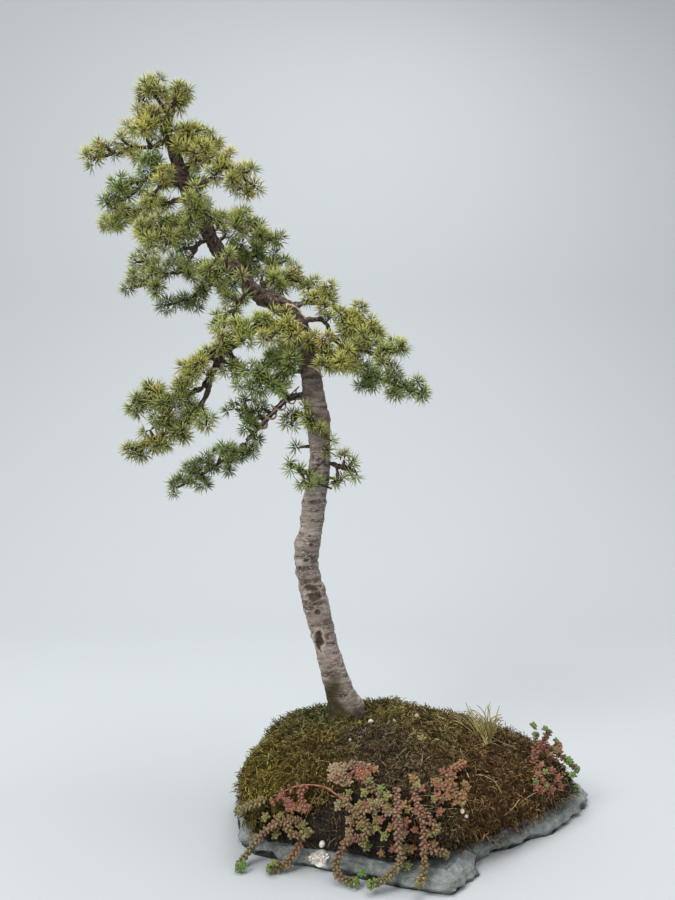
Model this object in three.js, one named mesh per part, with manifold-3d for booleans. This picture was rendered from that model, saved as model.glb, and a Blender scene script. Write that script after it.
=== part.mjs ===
// Cedar bonsai grown on a natural slate slab. Millimetres, +Z up, +X to the right, +Y away from the viewer.
// The origin is on the slab's flat underside, straight below the foot of the trunk.
// The tree is a wooden trunk with its limbs, and a leafy spray at the end of each twig.
import * as THREE from 'three';
import { mergeVertices } from 'three/addons/utils/BufferGeometryUtils.js';
import Module from 'manifold-3d';

// Driving dimensions
const SLAB_THICK = 18;
const SEAT_GAP = 0.3;
const FLOOR_GAP = 0.15;
const FLOOR_SIZE = [900, 900, 60];
const MOSS_THICK = 8;
const SOIL_CENTRE = [90, -45];
const TRUNK_FOOT = [9, 0];
const TRUNK_SIDES = 10;
const LIMB_SIDES = 5;
const LIMB_STEP = 2.4;
const STUB_SIDES = 3;
const STUB_STEP = 22;
const TWIG_SIDES = 3;
const TWIG_RADIUS = 1.4;
const SIDE_TWIG_RADIUS = 1.2;
const NEEDLE_LENGTH = 12.5;
const NEEDLE_RADIUS = 0.75;
const NEEDLE_LEANS = [-34, 30];
const END_NEEDLE_LEAN = 78;
const ROSETTE_SPACING = 28;
const ROSETTE_HALF = 1.9;
const BARE_START = 6;
const TWIG_TIP = 1.6;
const STUB_RADIUS = 2.1;
const STEM_RADIUS = 1.1;
const LEAF_LENGTH = 6.5;
const LEAF_RADIUS = 1.9;
const LEAF_SPACING = 10.5;
const LEAF_BASE = 1.1;
const LEAF_LEAN = 12;
const END_LEAF_LEAN = 58;
const ROOT_DEPTH = 9;
const GRASS_RADIUS = 3;
const GRASS_FOOT = [176, -43, 74];
const GRASS_CROWN = 90;
const WIRE_RADIUS = 1.9;
const WIRE_SIDES = 4;
const COIL_STEPS = 9;
const COIL_PHASES = 24;
const LIMB_UNEVEN = 1.04;
const WIRE_GAP = 0.35;
const NODE_GAP = 0.4;
const OWN_GAP = 0.12;
const HOLE_GAP = 0.6;
const CLEAR_OF_WOOD = 4;

const COLOURS = {
  bark: 0x8d7668, slate: 0x6f7a7b, soil: 0x322822, moss: 0x6e6432, needle: 0x7f8a3e,
  wire: 0x7b6a58, sedum: 0x8f7a4c, straw: 0x9c8a4c, pumice: 0xd8d2c6
};

const wasm = await Module();
wasm.setup();

// Seeded random numbers, the same on every run
const SEED_STEP = 0x6d2b79f5;
let seed = 20417;
function chance() {
  seed = (seed + SEED_STEP) | 0;
  let mixed = Math.imul(seed ^ (seed >>> 15), 1 | seed);
  mixed = (mixed + Math.imul(mixed ^ (mixed >>> 7), 61 | mixed)) ^ mixed;
  return ((mixed ^ (mixed >>> 14)) >>> 0) / 2 ** 32;
}
const between = (low, high) => low + (high - low) * chance();
const vector = ([x, y, z]) => new THREE.Vector3(x, y, z);
const smooth = (low, high, value) => THREE.MathUtils.smoothstep(value, low, high);

// Reads a height or radius off a list of [place, value] pairs, straight between them
function reading(pairs, place) {
  if (place <= pairs[0][0]) return pairs[0][1];
  for (let i = 1; i < pairs.length; i++) {
    const [a, valueA] = pairs[i - 1];
    const [b, valueB] = pairs[i];
    if (place <= b) return valueA + ((valueB - valueA) * (place - a)) / (b - a);
  }
  return pairs[pairs.length - 1][1];
}

// A closed skin over rings of equal count, with a point closing each end
function loft(rings, first, last) {
  const count = rings[0].length;
  const points = rings.flat().map((p) => p.clone());
  const faces = [];
  for (let i = 0; i < rings.length - 1; i++) {
    for (let k = 0; k < count; k++) {
      const next = (k + 1) % count;
      const low = i * count;
      const high = low + count;
      faces.push([low + k, low + next, high + k], [high + k, low + next, high + next]);
    }
  }
  const firstIndex = points.push(first.clone()) - 1;
  const lastIndex = points.push(last.clone()) - 1;
  const top = (rings.length - 1) * count;
  for (let k = 0; k < count; k++) {
    const next = (k + 1) % count;
    faces.push([next, k, firstIndex], [top + k, top + next, lastIndex]);
  }
  return { points, faces };
}

// Points and faces of a three.js shape, with its doubled corners made one
function skinOf(geometry) {
  const bare = geometry.clone();
  bare.deleteAttribute('normal');
  bare.deleteAttribute('uv');
  const merged = mergeVertices(bare, 0.001);
  const place = merged.getAttribute('position');
  const index = Array.from(merged.getIndex().array);
  const pointAt = (_, i) => new THREE.Vector3().fromBufferAttribute(place, i);
  const points = Array.from({ length: place.count }, pointAt);
  const faces = Array.from({ length: index.length / 3 }, (_, i) => index.slice(i * 3, i * 3 + 3));
  return { points, faces };
}

function solidOf({ points, faces }) {
  const vertProperties = new Float32Array(points.flatMap((p) => [p.x, p.y, p.z]));
  const triVerts = new Uint32Array(faces.flat());
  return new wasm.Manifold(new wasm.Mesh({ numProp: 3, vertProperties, triVerts }));
}

// The largest body of a solid: loose scraps that a cut leaves are dropped
function mainBody(solid) {
  return solid.decompose().sort((a, b) => b.volume() - a.volume())[0];
}

function meshOf(name, colour, solid, roughness = 0.9, metalness = 0) {
  const { vertProperties, triVerts } = solid.getMesh();
  const geometry = new THREE.BufferGeometry();
  geometry.setAttribute('position', new THREE.BufferAttribute(new Float32Array(vertProperties), 3));
  geometry.setIndex(Array.from(triVerts));
  const material = new THREE.MeshStandardMaterial({ color: colour, roughness, metalness });
  const mesh = new THREE.Mesh(geometry, material);
  mesh.name = name;
  return mesh;
}

// Stations along a curve, each with its point and two cross directions that never spin on their own
function stationsAlong(curve, places) {
  const length = curve.getLength();
  let across = null;
  return places.map((place) => {
    const share = THREE.MathUtils.clamp(place / length, 0, 1);
    const point = curve.getPointAt(share);
    const along = curve.getTangentAt(share);
    if (across === null) {
      across = Math.abs(along.z) > 0.9 ? new THREE.Vector3(1, 0, 0) : new THREE.Vector3(0, 0, 1);
    }
    across = across.clone().addScaledVector(along, -across.dot(along)).normalize();
    return { place, point, along, across, side: along.clone().cross(across) };
  });
}

function ringAt(station, radius, sides, turn = 0) {
  return Array.from({ length: sides }, (_, k) => {
    const angle = turn + (k / sides) * 2 * Math.PI;
    const reach = typeof radius === 'function' ? radius(angle) : radius;
    return station.point.clone()
      .addScaledVector(station.across, reach * Math.cos(angle))
      .addScaledVector(station.side, reach * Math.sin(angle));
  });
}

function routeOf(points) {
  return new THREE.CatmullRomCurve3(points.map(vector), false, 'centripetal');
}

// What already takes up room: tapered rods, kept in cells so that near ones are found fast
const CELL = 12;
const cells = new Map();
function cellsOf(rod) {
  const box = new THREE.Box3().setFromPoints([rod.a, rod.b]);
  const keys = [];
  const [low, high] = [box.min, box.max].map((p) => p.clone().divideScalar(CELL).floor());
  for (let x = low.x - 1; x <= high.x + 1; x++) {
    for (let y = low.y - 1; y <= high.y + 1; y++) {
      for (let z = low.z - 1; z <= high.z + 1; z++) keys.push(`${x},${y},${z}`);
    }
  }
  return keys;
}
function takeRoom(rod) {
  for (const key of cellsOf(rod)) {
    if (!cells.has(key)) cells.set(key, []);
    cells.get(key).push(rod);
  }
}

// Space between two tapered rods, at their nearest points
function spaceBetween(one, two) {
  const d1 = one.b.clone().sub(one.a);
  const d2 = two.b.clone().sub(two.a);
  const r = one.a.clone().sub(two.a);
  const a = d1.dot(d1);
  const e = d2.dot(d2);
  const f = d2.dot(r);
  const c = d1.dot(r);
  const b = d1.dot(d2);
  const bottom = a * e - b * b;
  let s = bottom > 1e-9 ? THREE.MathUtils.clamp((b * f - c * e) / bottom, 0, 1) : 0;
  let t = (b * s + f) / e;
  if (t < 0 || t > 1) {
    t = THREE.MathUtils.clamp(t, 0, 1);
    s = THREE.MathUtils.clamp((b * t - c) / a, 0, 1);
  }
  const apart = one.a.clone().addScaledVector(d1, s).distanceTo(two.a.clone().addScaledVector(d2, t));
  return apart - THREE.MathUtils.lerp(one.ra, one.rb, s) - THREE.MathUtils.lerp(two.ra, two.rb, t);
}

function nearRods(rod) {
  const found = new Set();
  const middle = rod.a.clone().add(rod.b).multiplyScalar(0.5);
  for (const end of [rod.a, middle, rod.b]) {
    const { x, y, z } = end.clone().divideScalar(CELL).floor();
    for (const other of cells.get(`${x},${y},${z}`) ?? []) found.add(other);
  }
  return found;
}

// Slate slab: a split stone with a chipped, undercut rim, flat where it rests and where the soil sits
const SLAB_OUTLINE = [
  [-90, -128], [-60, -138], [-20, -154], [20, -169], [61, -183], [96, -192], [114, -194], [127, -177],
  [141, -160], [147, -140], [160, -125], [188, -115], [214, -100], [242, -87], [261, -65], [299, -33],
  [306, -4], [296, 30], [258, 60], [200, 84], [130, 99], [60, 107], [-18, 103], [-78, 86],
  [-114, 52], [-124, 0], [-117, -62], [-106, -108]
];
// How far each rim point's ledge steps in, and how far the underside is cut back
const LEDGE_IN = [
  9, 7, 8, 9, 12, 16, 18, 14, 17, 12, 9, 13, 17, 19, 15, 16, 18, 12, 9, 8, 10, 8, 9, 12, 10, 9, 7, 8
];
const UNDER_IN = [4, 3, 5, 4, 3, 4, 5, 3, 2, 4, 3, 2, 4, 2, 3, 5, 7, 5, 3, 4, 3, 2, 4, 3, 4, 3, 2, 3];

function inwardOutline(steps, height) {
  const count = SLAB_OUTLINE.length;
  return SLAB_OUTLINE.map(([x, y], i) => {
    const [px, py] = SLAB_OUTLINE[(i + count - 1) % count];
    const [nx, ny] = SLAB_OUTLINE[(i + 1) % count];
    const inward = new THREE.Vector2(-(ny - py), nx - px).normalize().multiplyScalar(steps[i]);
    return new THREE.Vector3(x + inward.x, y + inward.y, height);
  });
}

function buildSlab() {
  const still = SLAB_OUTLINE.map(() => 0);
  const rings = [
    inwardOutline(UNDER_IN, 0),
    inwardOutline(still, SLAB_THICK * 0.3),
    inwardOutline(LEDGE_IN.map((step) => step * 0.25), SLAB_THICK * 0.68),
    inwardOutline(LEDGE_IN.map((step) => step * 0.7), SLAB_THICK * 0.84),
    inwardOutline(LEDGE_IN, SLAB_THICK)
  ];
  const middle = (height) => new THREE.Vector3(SOIL_CENTRE[0], SOIL_CENTRE[1], height);
  return solidOf(loft(rings, middle(0), middle(SLAB_THICK)));
}

// Soil mound and the moss that covers most of it
const SOIL_FOOT = [
  [-79, -130], [-39, -143], [3, -154], [56, -170], [86, -168], [107, -158], [135, -142], [165, -126],
  [193, -101], [233, -76], [266, -50], [276, -16], [262, 18], [225, 44], [180, 60], [120, 74],
  [60, 82], [0, 80], [-50, 65], [-90, 30], [-107, -22], [-104, -72], [-96, -108]
];
const CREST = [
  [-110, 92], [-86, 100], [-48, 104], [9, 107], [80, 107],
  [138, 97], [216, 81], [249, 74], [270, 58], [290, 48]
];
// From the foot to the middle: share of the foot's reach, and share of the full height
const SIDE_PROFILE = [
  [1, 0], [1.012, 0.25], [0.995, 0.48], [0.955, 0.66], [0.9, 0.79], [0.8, 0.89], [0.6, 0.96], [0.3, 0.99]
];
const SOIL_SIDES = 23;
const MOSS_SIDES = 23;
const footCurve = new THREE.CatmullRomCurve3(
  SOIL_FOOT.map(([x, y]) => new THREE.Vector3(x, y, 0)), true, 'centripetal'
);

// A point of the mound: how far round the foot, how far up the profile, and how proud of the soil
function moundPoint(round, up, proud) {
  const foot = footCurve.getPointAt(((round % 1) + 1) % 1);
  const step = THREE.MathUtils.clamp(up, 0, 1) * (SIDE_PROFILE.length - 1);
  const i = Math.min(Math.floor(step), SIDE_PROFILE.length - 2);
  const reach = THREE.MathUtils.lerp(SIDE_PROFILE[i][0], SIDE_PROFILE[i + 1][0], step - i);
  const rise = THREE.MathUtils.lerp(SIDE_PROFILE[i][1], SIDE_PROFILE[i + 1][1], step - i);
  const lump = 1 + 0.012 * Math.sin(round * 44 + up * 7) + 0.01 * Math.sin(round * 90 + 2);
  const x = SOIL_CENTRE[0] + (foot.x - SOIL_CENTRE[0]) * reach * lump;
  const y = SOIL_CENTRE[1] + (foot.y - SOIL_CENTRE[1]) * reach * lump;
  const base = SLAB_THICK + SEAT_GAP;
  const z = base + rise * (reading(CREST, x) - MOSS_THICK - base);
  const point = new THREE.Vector3(x, y, z);
  if (proud !== 0) {
    const out = new THREE.Vector3(foot.x - SOIL_CENTRE[0], foot.y - SOIL_CENTRE[1], 0).normalize();
    const steep = 1 - smooth(0.2, 0.75, up);
    point.addScaledVector(out.multiplyScalar(steep).setZ(1.05 - steep).normalize(), proud);
  }
  return point;
}

// The same skin spread a little about the middle of its foot, so that what sits on it keeps clear
function widened(skin, share = 1.004) {
  const [x, y] = SOIL_CENTRE;
  const z = SLAB_THICK + SEAT_GAP;
  return skin.translate([-x, -y, -z]).scale([share, share, share]).translate([x, y, z]);
}

// Moss grows down to the slab, but leaves the front left of the soil bare
function mossDepth(round, up) {
  const at = moundPoint(round, up, 0);
  const front = (1 - smooth(-110, -60, at.y)) * Math.exp(-(((at.x - 14) / 62) ** 2));
  const edge = 0.5 * front;
  const cover = smooth(edge - 0.1, edge + 0.1, up) * 1.5 - 0.5;
  const tuft = 0.78 + 0.22 * Math.sin(round * 130 + up * 9) * Math.cos(up * 17 + round * 40);
  return MOSS_THICK * cover * tuft;
}

function moundSkin(sides, levels, proud, drop = 0) {
  const rings = [];
  for (let i = 0; i < levels; i++) {
    const up = i / (levels - 1);
    rings.push(Array.from({ length: sides }, (_, k) => moundPoint(k / sides, up, proud(k / sides, up))));
  }
  if (drop > 0) rings.unshift(rings[0].map((p) => new THREE.Vector3(p.x, p.y, p.z - drop)));
  const floor = new THREE.Vector3(SOIL_CENTRE[0], SOIL_CENTRE[1], rings[0][0].z);
  const top = new THREE.Vector3(SOIL_CENTRE[0], SOIL_CENTRE[1], reading(CREST, SOIL_CENTRE[0]) - MOSS_THICK);
  top.z += proud(0, 1);
  return loft(rings, floor, top);
}

// Trunk, from its plug in the soil up to the leader, as places with the trunk's thickness there
const TRUNK = [
  [9, 0, 108, 46], [2, 1, 128, 35], [-2, 3, 142, 33.5], [-7, 4, 159, 33.5], [-13, 5, 181, 31],
  [-19, 6, 204, 30], [-28, 7, 240, 33], [-32, 7, 256, 31], [-37, 6, 275, 30], [-39, 5, 293, 31],
  [-38, 4, 312, 32], [-33, 3, 330, 27.5], [-29, 0, 368, 30], [-24, -2, 393, 29.5], [-21, -4, 430, 26.5],
  [-24, -4, 467, 30], [-29, -3, 492, 27], [-34, -2, 532, 26], [-42, 0, 560, 25], [-48, 2, 585, 25],
  [-60, 4, 604, 24], [-78, 5, 613, 23], [-95, 6, 622, 21.5], [-110, 6, 634, 21], [-122, 6, 651, 20.5],
  [-137, 5, 667, 20], [-151, 5, 682, 19], [-160, 5, 698, 18.5], [-172, 5, 722, 18], [-184, 5, 742, 17],
  [-193, 5, 764, 17], [-200, 5, 785, 15], [-204, 4, 801, 12], [-210, 3, 816, 10], [-215, 2, 829, 8],
  [-210, 1, 844, 6], [-206, 0, 853, 4.6]
];
const PLUG_DEPTH = 62;
const PLUG_RADII = [15, 22.6];
const HOLE_TOP = 150;

// Limbs: bare wood between the trunk and the leafy sprays, with radius at the foot and at the end
const LIMBS = [
  { points: [[-60, 3, 603], [-45, 12, 616], [-25, 12, 616], [-8, 4, 611]], radii: [6, 2.4] },
  { points: [[-47, 2, 591], [-30, -6, 591], [-16, -12, 588], [-8, -16, 570], [4, -20, 560]],
    radii: [4.2, 2.2] },
  { points: [[-51, 2, 592], [-67, -10, 587], [-84, -18, 582], [-100, -24, 576], [-114, -28, 567],
    [-127, -34, 553], [-138, -38, 541], [-148, -42, 519], [-156, -46, 504]], radii: [6.2, 3] },
  { points: [[-29, -1, 495], [-47, 4, 498], [-65, 10, 493], [-79, 18, 481], [-92, 24, 468], [-106, 30, 454],
    [-118, 34, 443]], radii: [6, 2.8] },
  { points: [[-184, 5, 742], [-166, 0, 762], [-155, -2, 768]], radii: [3.2, 1.6] },
  { points: [[-61, 10, 494], [-72, -4, 506]], radii: [2.6, 1.5] }
];

// Leafy sprays: the first route starts inside the wood, the others start on the first
const SPRAYS = {
  crown_tip: [
    [[-213, 2, 836], [-205, 0, 856], [-200, -1, 870], [-198, -2, 881]],
    [[-203, 0, 861], [-193, 8, 870]]],
  crown_left: [
    [[-209, 1, 846], [-216, -6, 857], [-224, -10, 868], [-235, -12, 878]],
    [[-218, -8, 861], [-230, -14, 859], [-240, -16, 852]],
    [[-226, -10, 871], [-220, -2, 885]],
    [[-227, -10, 869], [-213, -16, 867]]],
  crown_cap: [
    [[-214, 2, 829], [-222, -10, 831], [-231, -18, 830], [-240, -24, 823], [-248, -28, 814]],
    [[-227, -14, 831], [-222, -22, 839]],
    [[-231, -20, 828], [-232, -34, 809]],
    [[-221, -12, 828], [-211, -24, 806]]],
  crown_left_low: [
    [[-211, 3, 818], [-228, 6, 810], [-249, 12, 811], [-266, 15, 810], [-285, 18, 805], [-302, 20, 803],
      [-314, 20, 802]],
    [[-268, 15, 810], [-279, 24, 824]],
    [[-286, 18, 805], [-294, 10, 816]],
    [[-302, 20, 803], [-308, 14, 789]],
    [[-249, 12, 811], [-249, 4, 791]],
    [[-235, 8, 810], [-237, -4, 817]]],
  crown_right: [
    [[-209, 3, 814], [-193, 10, 824], [-174, 16, 821], [-155, 22, 818]],
    [[-182, 12, 823], [-175, 20, 837]],
    [[-168, 18, 820], [-162, 10, 806]],
    [[-193, 10, 824], [-194, -8, 798]],
    [[-188, 10, 822], [-188, -2, 829]]],
  left_dark: [
    [[-199, 5, 784], [-217, -5, 781], [-228, -14, 769], [-236, -20, 754], [-247, -24, 739],
      [-260, -27, 729], [-277, -30, 726]],
    [[-236, -20, 754], [-251, -30, 750], [-263, -34, 748]],
    [[-223, -10, 776], [-226, -24, 784]],
    [[-258, -27, 730], [-272, -16, 741]]],
  right_upper: [
    [[-197, 5, 778], [-180, -6, 786], [-161, -14, 783], [-139, -20, 773], [-117, -24, 761],
      [-98, -26, 745]],
    [[-168, -12, 785], [-164, -24, 796]],
    [[-140, -20, 774], [-131, -12, 789]],
    [[-128, -22, 767], [-126, -30, 748]],
    [[-116, -24, 760], [-102, -32, 766]],
    [[-161, -13, 777], [-160, -18, 756]],
    [[-149, -16, 772], [-145, -22, 748]],
    [[-152, -15, 775], [-150, -6, 795]],
    [[-108, -24, 754], [-113, -20, 740]]],
  left_front: [
    [[-191, 6, 761], [-204, -16, 754], [-214, -32, 744], [-222, -42, 726]],
    [[-209, -24, 749], [-208, -38, 760]],
    [[-202, -8, 756], [-202, -20, 766]],
    [[-210, -28, 742], [-199, -38, 726]]],
  left_middle: [
    [[-176, 6, 729], [-189, -8, 717], [-201, -20, 699], [-218, -28, 690], [-237, -32, 695]],
    [[-197, -17, 705], [-187, -28, 686]],
    [[-212, -26, 692], [-222, -34, 675]],
    [[-206, -23, 696], [-207, -38, 706]],
    [[-207, -24, 695], [-202, -36, 675]],
    [[-227, -30, 692], [-235, -22, 683]],
    [[-222, -31, 692], [-229, -24, 708]]],
  left_back: [
    [[-187, 6, 748], [-210, 20, 745], [-234, 28, 744], [-257, 34, 742], [-280, 38, 736], [-302, 40, 725]],
    [[-238, 29, 744], [-246, 42, 758]],
    [[-272, 37, 738], [-286, 46, 752]],
    [[-284, 38, 734], [-289, 28, 717]],
    [[-257, 34, 742], [-257, 26, 724]]],
  front_upper: [
    [[-173, 6, 723], [-165, -18, 722], [-160, -36, 723], [-163, -52, 730]],
    [[-163, -26, 722], [-177, -38, 721]],
    [[-160, -34, 723], [-146, -44, 714]],
    [[-164, -26, 715], [-169, -34, 697]],
    [[-160, -38, 721], [-147, -50, 696]],
    [[-163, -38, 718], [-174, -52, 707]]],
  right_middle: [
    [[-167, 6, 712], [-153, 12, 724], [-134, 18, 723], [-114, 22, 721], [-94, 26, 711], [-75, 30, 699]],
    [[-136, 17, 723], [-126, 8, 706]],
    [[-125, 20, 722], [-120, 32, 737]],
    [[-105, 24, 717], [-97, 14, 699]],
    [[-153, 12, 724], [-152, 22, 709]]],
  left_twig: [
    [[-155, 6, 691], [-170, 0, 688], [-178, -8, 673], [-183, -14, 658]],
    [[-175, -4, 680], [-190, -12, 676]],
    [[-182, -8, 666], [-198, -2, 667]]],
  left_long: [
    [[-143, 5, 674], [-162, 10, 660], [-183, 16, 655], [-205, 20, 658], [-227, 24, 650], [-250, 28, 641],
      [-270, 30, 638]],
    [[-200, 19, 657], [-207, 28, 673]],
    [[-218, 22, 653], [-231, 32, 667]],
    [[-232, 25, 648], [-229, 14, 630]],
    [[-250, 28, 641], [-259, 18, 654]],
    [[-229, 24, 650], [-240, 30, 662], [-251, 34, 675]]],
  front_middle: [
    [[-127, 5, 659], [-128, -22, 650], [-135, -42, 643], [-147, -58, 636]],
    [[-130, -28, 648], [-112, -44, 634]],
    [[-132, -38, 644], [-130, -54, 655]],
    [[-137, -44, 643], [-135, -50, 625]],
    [[-145, -54, 639], [-156, -50, 627]]],
  back_dark: [
    [[-137, 6, 666], [-153, 28, 650], [-172, 36, 640], [-192, 42, 629], [-211, 44, 622], [-230, 44, 619]],
    [[-160, 31, 646], [-152, 42, 634], [-138, 46, 627]],
    [[-184, 40, 634], [-190, 54, 620]],
    [[-153, 26, 654], [-165, 34, 667]]],
  hanging: [
    [[-110, 5, 635], [-115, -14, 617], [-121, -26, 601], [-133, -34, 588], [-149, -38, 580]],
    [[-118, -21, 608], [-130, -32, 612]],
    [[-126, -30, 594], [-120, -42, 578]]],
  right_back: [
    [[-141, 6, 674], [-130, 24, 686], [-116, 38, 686], [-100, 50, 682], [-83, 56, 676]],
    [[-124, 30, 686], [-124, 44, 701]],
    [[-113, 41, 685], [-102, 52, 700]]],
  right_thin: [
    [[-99, 5, 625], [-92, 16, 643], [-81, 24, 653], [-65, 32, 653], [-47, 38, 648], [-26, 42, 647]],
    [[-84, 22, 651], [-86, 32, 667]],
    [[-75, 27, 653], [-70, 18, 633]],
    [[-60, 33, 652], [-54, 42, 668]],
    [[-84, 22, 651], [-78, 8, 641]]],
  right_shelf: [
    [[-16, 8, 614], [-4, 2, 610], [9, -5, 601], [26, -10, 590], [46, -15, 580]],
    [[1, -2, 607], [5, -12, 620]],
    [[13, -7, 599], [6, -20, 588]],
    [[20, -9, 594], [29, 2, 607]],
    [[33, -12, 587], [34, -22, 569]],
    [[18, -8, 594], [12, 0, 575]],
    [[26, -10, 589], [17, -26, 572]],
    [[37, -13, 584], [49, -8, 569]]],
  right_cap: [
    [[-30, 12, 616], [-33, 4, 626], [-23, -2, 633], [-10, -8, 630]],
    [[-27, 1, 631], [-17, 8, 643]],
    [[-29, 2, 627], [-21, -12, 611]],
    [[-22, -2, 631], [-7, 8, 617]]],
  right_outer: [
    [[-2, -18, 566], [8, -22, 560], [23, -28, 552], [41, -32, 544], [60, -36, 545], [79, -38, 549]],
    [[26, -28, 551], [34, -38, 562]],
    [[50, -33, 544], [56, -42, 530]],
    [[58, -35, 545], [67, -28, 559]],
    [[23, -26, 551], [14, -18, 538]],
    [[34, -29, 546], [41, -22, 529]],
    [[44, -31, 543], [48, -22, 558]]],
  right_tail: [
    [[-10, -14, 577], [2, -6, 560], [18, -8, 540], [36, -12, 525], [56, -16, 515], [80, -20, 505],
      [103, -24, 495]],
    [[40, -13, 523], [45, -4, 508]],
    [[58, -16, 514], [69, -26, 524]],
    [[66, -18, 511], [70, -10, 497]],
    [[84, -21, 503], [97, -30, 511]],
    [[20, -18, 539], [30, -8, 553]],
    [[56, -20, 516], [47, -28, 502]]],
  right_front: [
    [[-37, 3, 556], [-25, -20, 550], [-10, -38, 541], [6, -52, 533]],
    [[-20, -28, 547], [-16, -40, 559]],
    [[-14, -34, 543], [-17, -44, 527]],
    [[-4, -43, 538], [10, -46, 549]],
    [[-25, -20, 550], [-34, -28, 562]],
    [[-4, -43, 539], [1, -36, 525]],
    [[-31, -10, 554], [-32, -24, 535]]],
  shelf_over_bend: [
    [[-62, -7, 588], [-66, -28, 577], [-74, -42, 565], [-86, -54, 557]],
    [[-68, -32, 573], [-52, -44, 565]],
    [[-63, -12, 588], [-73, -24, 596]],
    [[-68, -30, 571], [-55, -42, 579]]],
  shelf_left: [
    [[-89, -20, 579], [-97, -34, 575], [-107, -46, 570], [-121, -52, 561], [-134, -54, 551]],
    [[-97, -34, 575], [-84, -44, 584]],
    [[-107, -46, 570], [-108, -60, 553]],
    [[-114, -50, 566], [-122, -44, 579]],
    [[-126, -54, 557], [-138, -50, 566]]],
  limb_under: [
    [[-129, -36, 547], [-126, -22, 542], [-123, -10, 535], [-118, -2, 528]],
    [[-125, -16, 538], [-135, -14, 526]]],
  left_inner: [
    [[-141, -39, 535], [-152, -50, 539], [-165, -56, 535], [-178, -60, 522]],
    [[-159, -54, 538], [-157, -68, 527]],
    [[-148, -47, 538], [-139, -58, 548]],
    [[-165, -56, 535], [-166, -68, 514]]],
  left_end_upper: [
    [[-150, -43, 515], [-160, -50, 500], [-174, -56, 494], [-190, -60, 492], [-210, -62, 490],
      [-235, -64, 484]],
    [[-176, -57, 494], [-179, -66, 507]],
    [[-194, -60, 492], [-199, -72, 480]],
    [[-205, -62, 490], [-214, -54, 503]],
    [[-220, -63, 488], [-228, -54, 475]],
    [[-164, -50, 496], [-158, -60, 482]]],
  left_end_lower: [
    [[-150, -43, 515], [-154, -44, 490], [-165, -48, 474], [-178, -52, 462], [-194, -56, 452],
      [-208, -60, 442], [-224, -62, 433], [-241, -62, 430]],
    [[-160, -46, 481], [-151, -56, 466]],
    [[-180, -53, 461], [-178, -64, 446]],
    [[-192, -56, 453], [-203, -66, 462]],
    [[-224, -62, 433], [-231, -52, 422]],
    [[-187, -58, 465], [-170, -62, 458]],
    [[-208, -62, 446], [-204, -58, 433]],
    [[-201, -61, 452], [-219, -52, 460]]],
  lower_end: [
    [[-113, 33, 447], [-121, 36, 437], [-131, 38, 427], [-147, 42, 417], [-165, 44, 407], [-184, 46, 395],
      [-200, 46, 385], [-215, 46, 379]],
    [[-125, 37, 433], [-120, 24, 423]],
    [[-134, 39, 425], [-147, 50, 435]],
    [[-144, 41, 419], [-139, 32, 403]],
    [[-165, 44, 407], [-173, 34, 418]],
    [[-178, 45, 399], [-173, 54, 384]],
    [[-194, 46, 389], [-202, 56, 400]],
    [[-125, 37, 436], [-108, 28, 428]],
    [[-156, 43, 411], [-154, 52, 425]],
    [[-184, 46, 395], [-190, 38, 408]]],
  lower_upper: [
    [[-92, 24, 468], [-106, 18, 476], [-118, 12, 481], [-132, 8, 481]],
    [[-110, 16, 478], [-115, 6, 464]],
    [[-116, 13, 480], [-119, 22, 495]],
    [[-106, 19, 473], [-97, 28, 483]],
    [[-112, 17, 477], [-102, 6, 458]]],
  inner_shelf: [
    [[-33, 0, 524], [-49, -18, 526], [-65, -30, 520], [-81, -38, 516], [-97, -44, 511], [-112, -48, 502]],
    [[-58, -25, 523], [-54, -38, 536]],
    [[-74, -35, 518], [-77, -46, 503]],
    [[-80, -38, 516], [-90, -30, 529]],
    [[-94, -43, 512], [-102, -54, 524]],
    [[-49, -20, 526], [-42, -32, 507]],
    [[-65, -30, 521], [-66, -22, 501]],
    [[-89, -41, 513], [-96, -34, 499]]],
  inner_upper: [
    [[-36, 1, 539], [-52, 14, 549], [-69, 22, 551], [-86, 26, 545]],
    [[-63, 19, 551], [-70, 30, 565]],
    [[-69, 20, 552], [-78, 28, 534]],
    [[-58, 16, 550], [-52, 26, 564]]],
  knob_left: [
    [[-26, -2, 477], [-46, -10, 474], [-60, -14, 469]],
    [[-50, -11, 473], [-58, -20, 458]],
    [[-43, -7, 475], [-52, 2, 490]]],
  trunk_front: [
    [[-23, -3, 462], [-28, -24, 461], [-34, -36, 469]],
    [[-28, -24, 461], [-18, -30, 448], [-8, -34, 440]],
    [[-30, -22, 461], [-42, -26, 437]]],
  trunk_left_low: [
    [[-23, -4, 400], [-40, -14, 402], [-52, -20, 408], [-62, -24, 416]],
    [[-45, -16, 404], [-42, -28, 392], [-33, -34, 384]]],
  trunk_right_low: [
    [[-20, -4, 415], [-6, -12, 412], [8, -16, 406], [25, -20, 404]],
    [[0, -14, 409], [1, -20, 390]],
    [[7, -16, 406], [8, -26, 420]],
    [[-6, -10, 410], [-17, -26, 383]]],
  back_upper: [
    [[-192, 5, 764], [-191, 34, 776], [-199, 58, 795], [-208, 76, 813]],
    [[-191, 38, 778], [-178, 54, 785]],
    [[-196, 52, 790], [-214, 64, 789]]],
  back_middle: [
    [[-119, 6, 648], [-119, 34, 663], [-126, 62, 682], [-139, 84, 697]],
    [[-120, 40, 667], [-106, 56, 668]],
    [[-125, 57, 678], [-145, 68, 676]]],
  back_lower: [
    [[-36, 2, 545], [-48, 34, 557], [-65, 64, 564], [-83, 90, 566]],
    [[-53, 42, 559], [-46, 60, 575]],
    [[-61, 57, 563], [-68, 74, 550]]]
};

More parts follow.
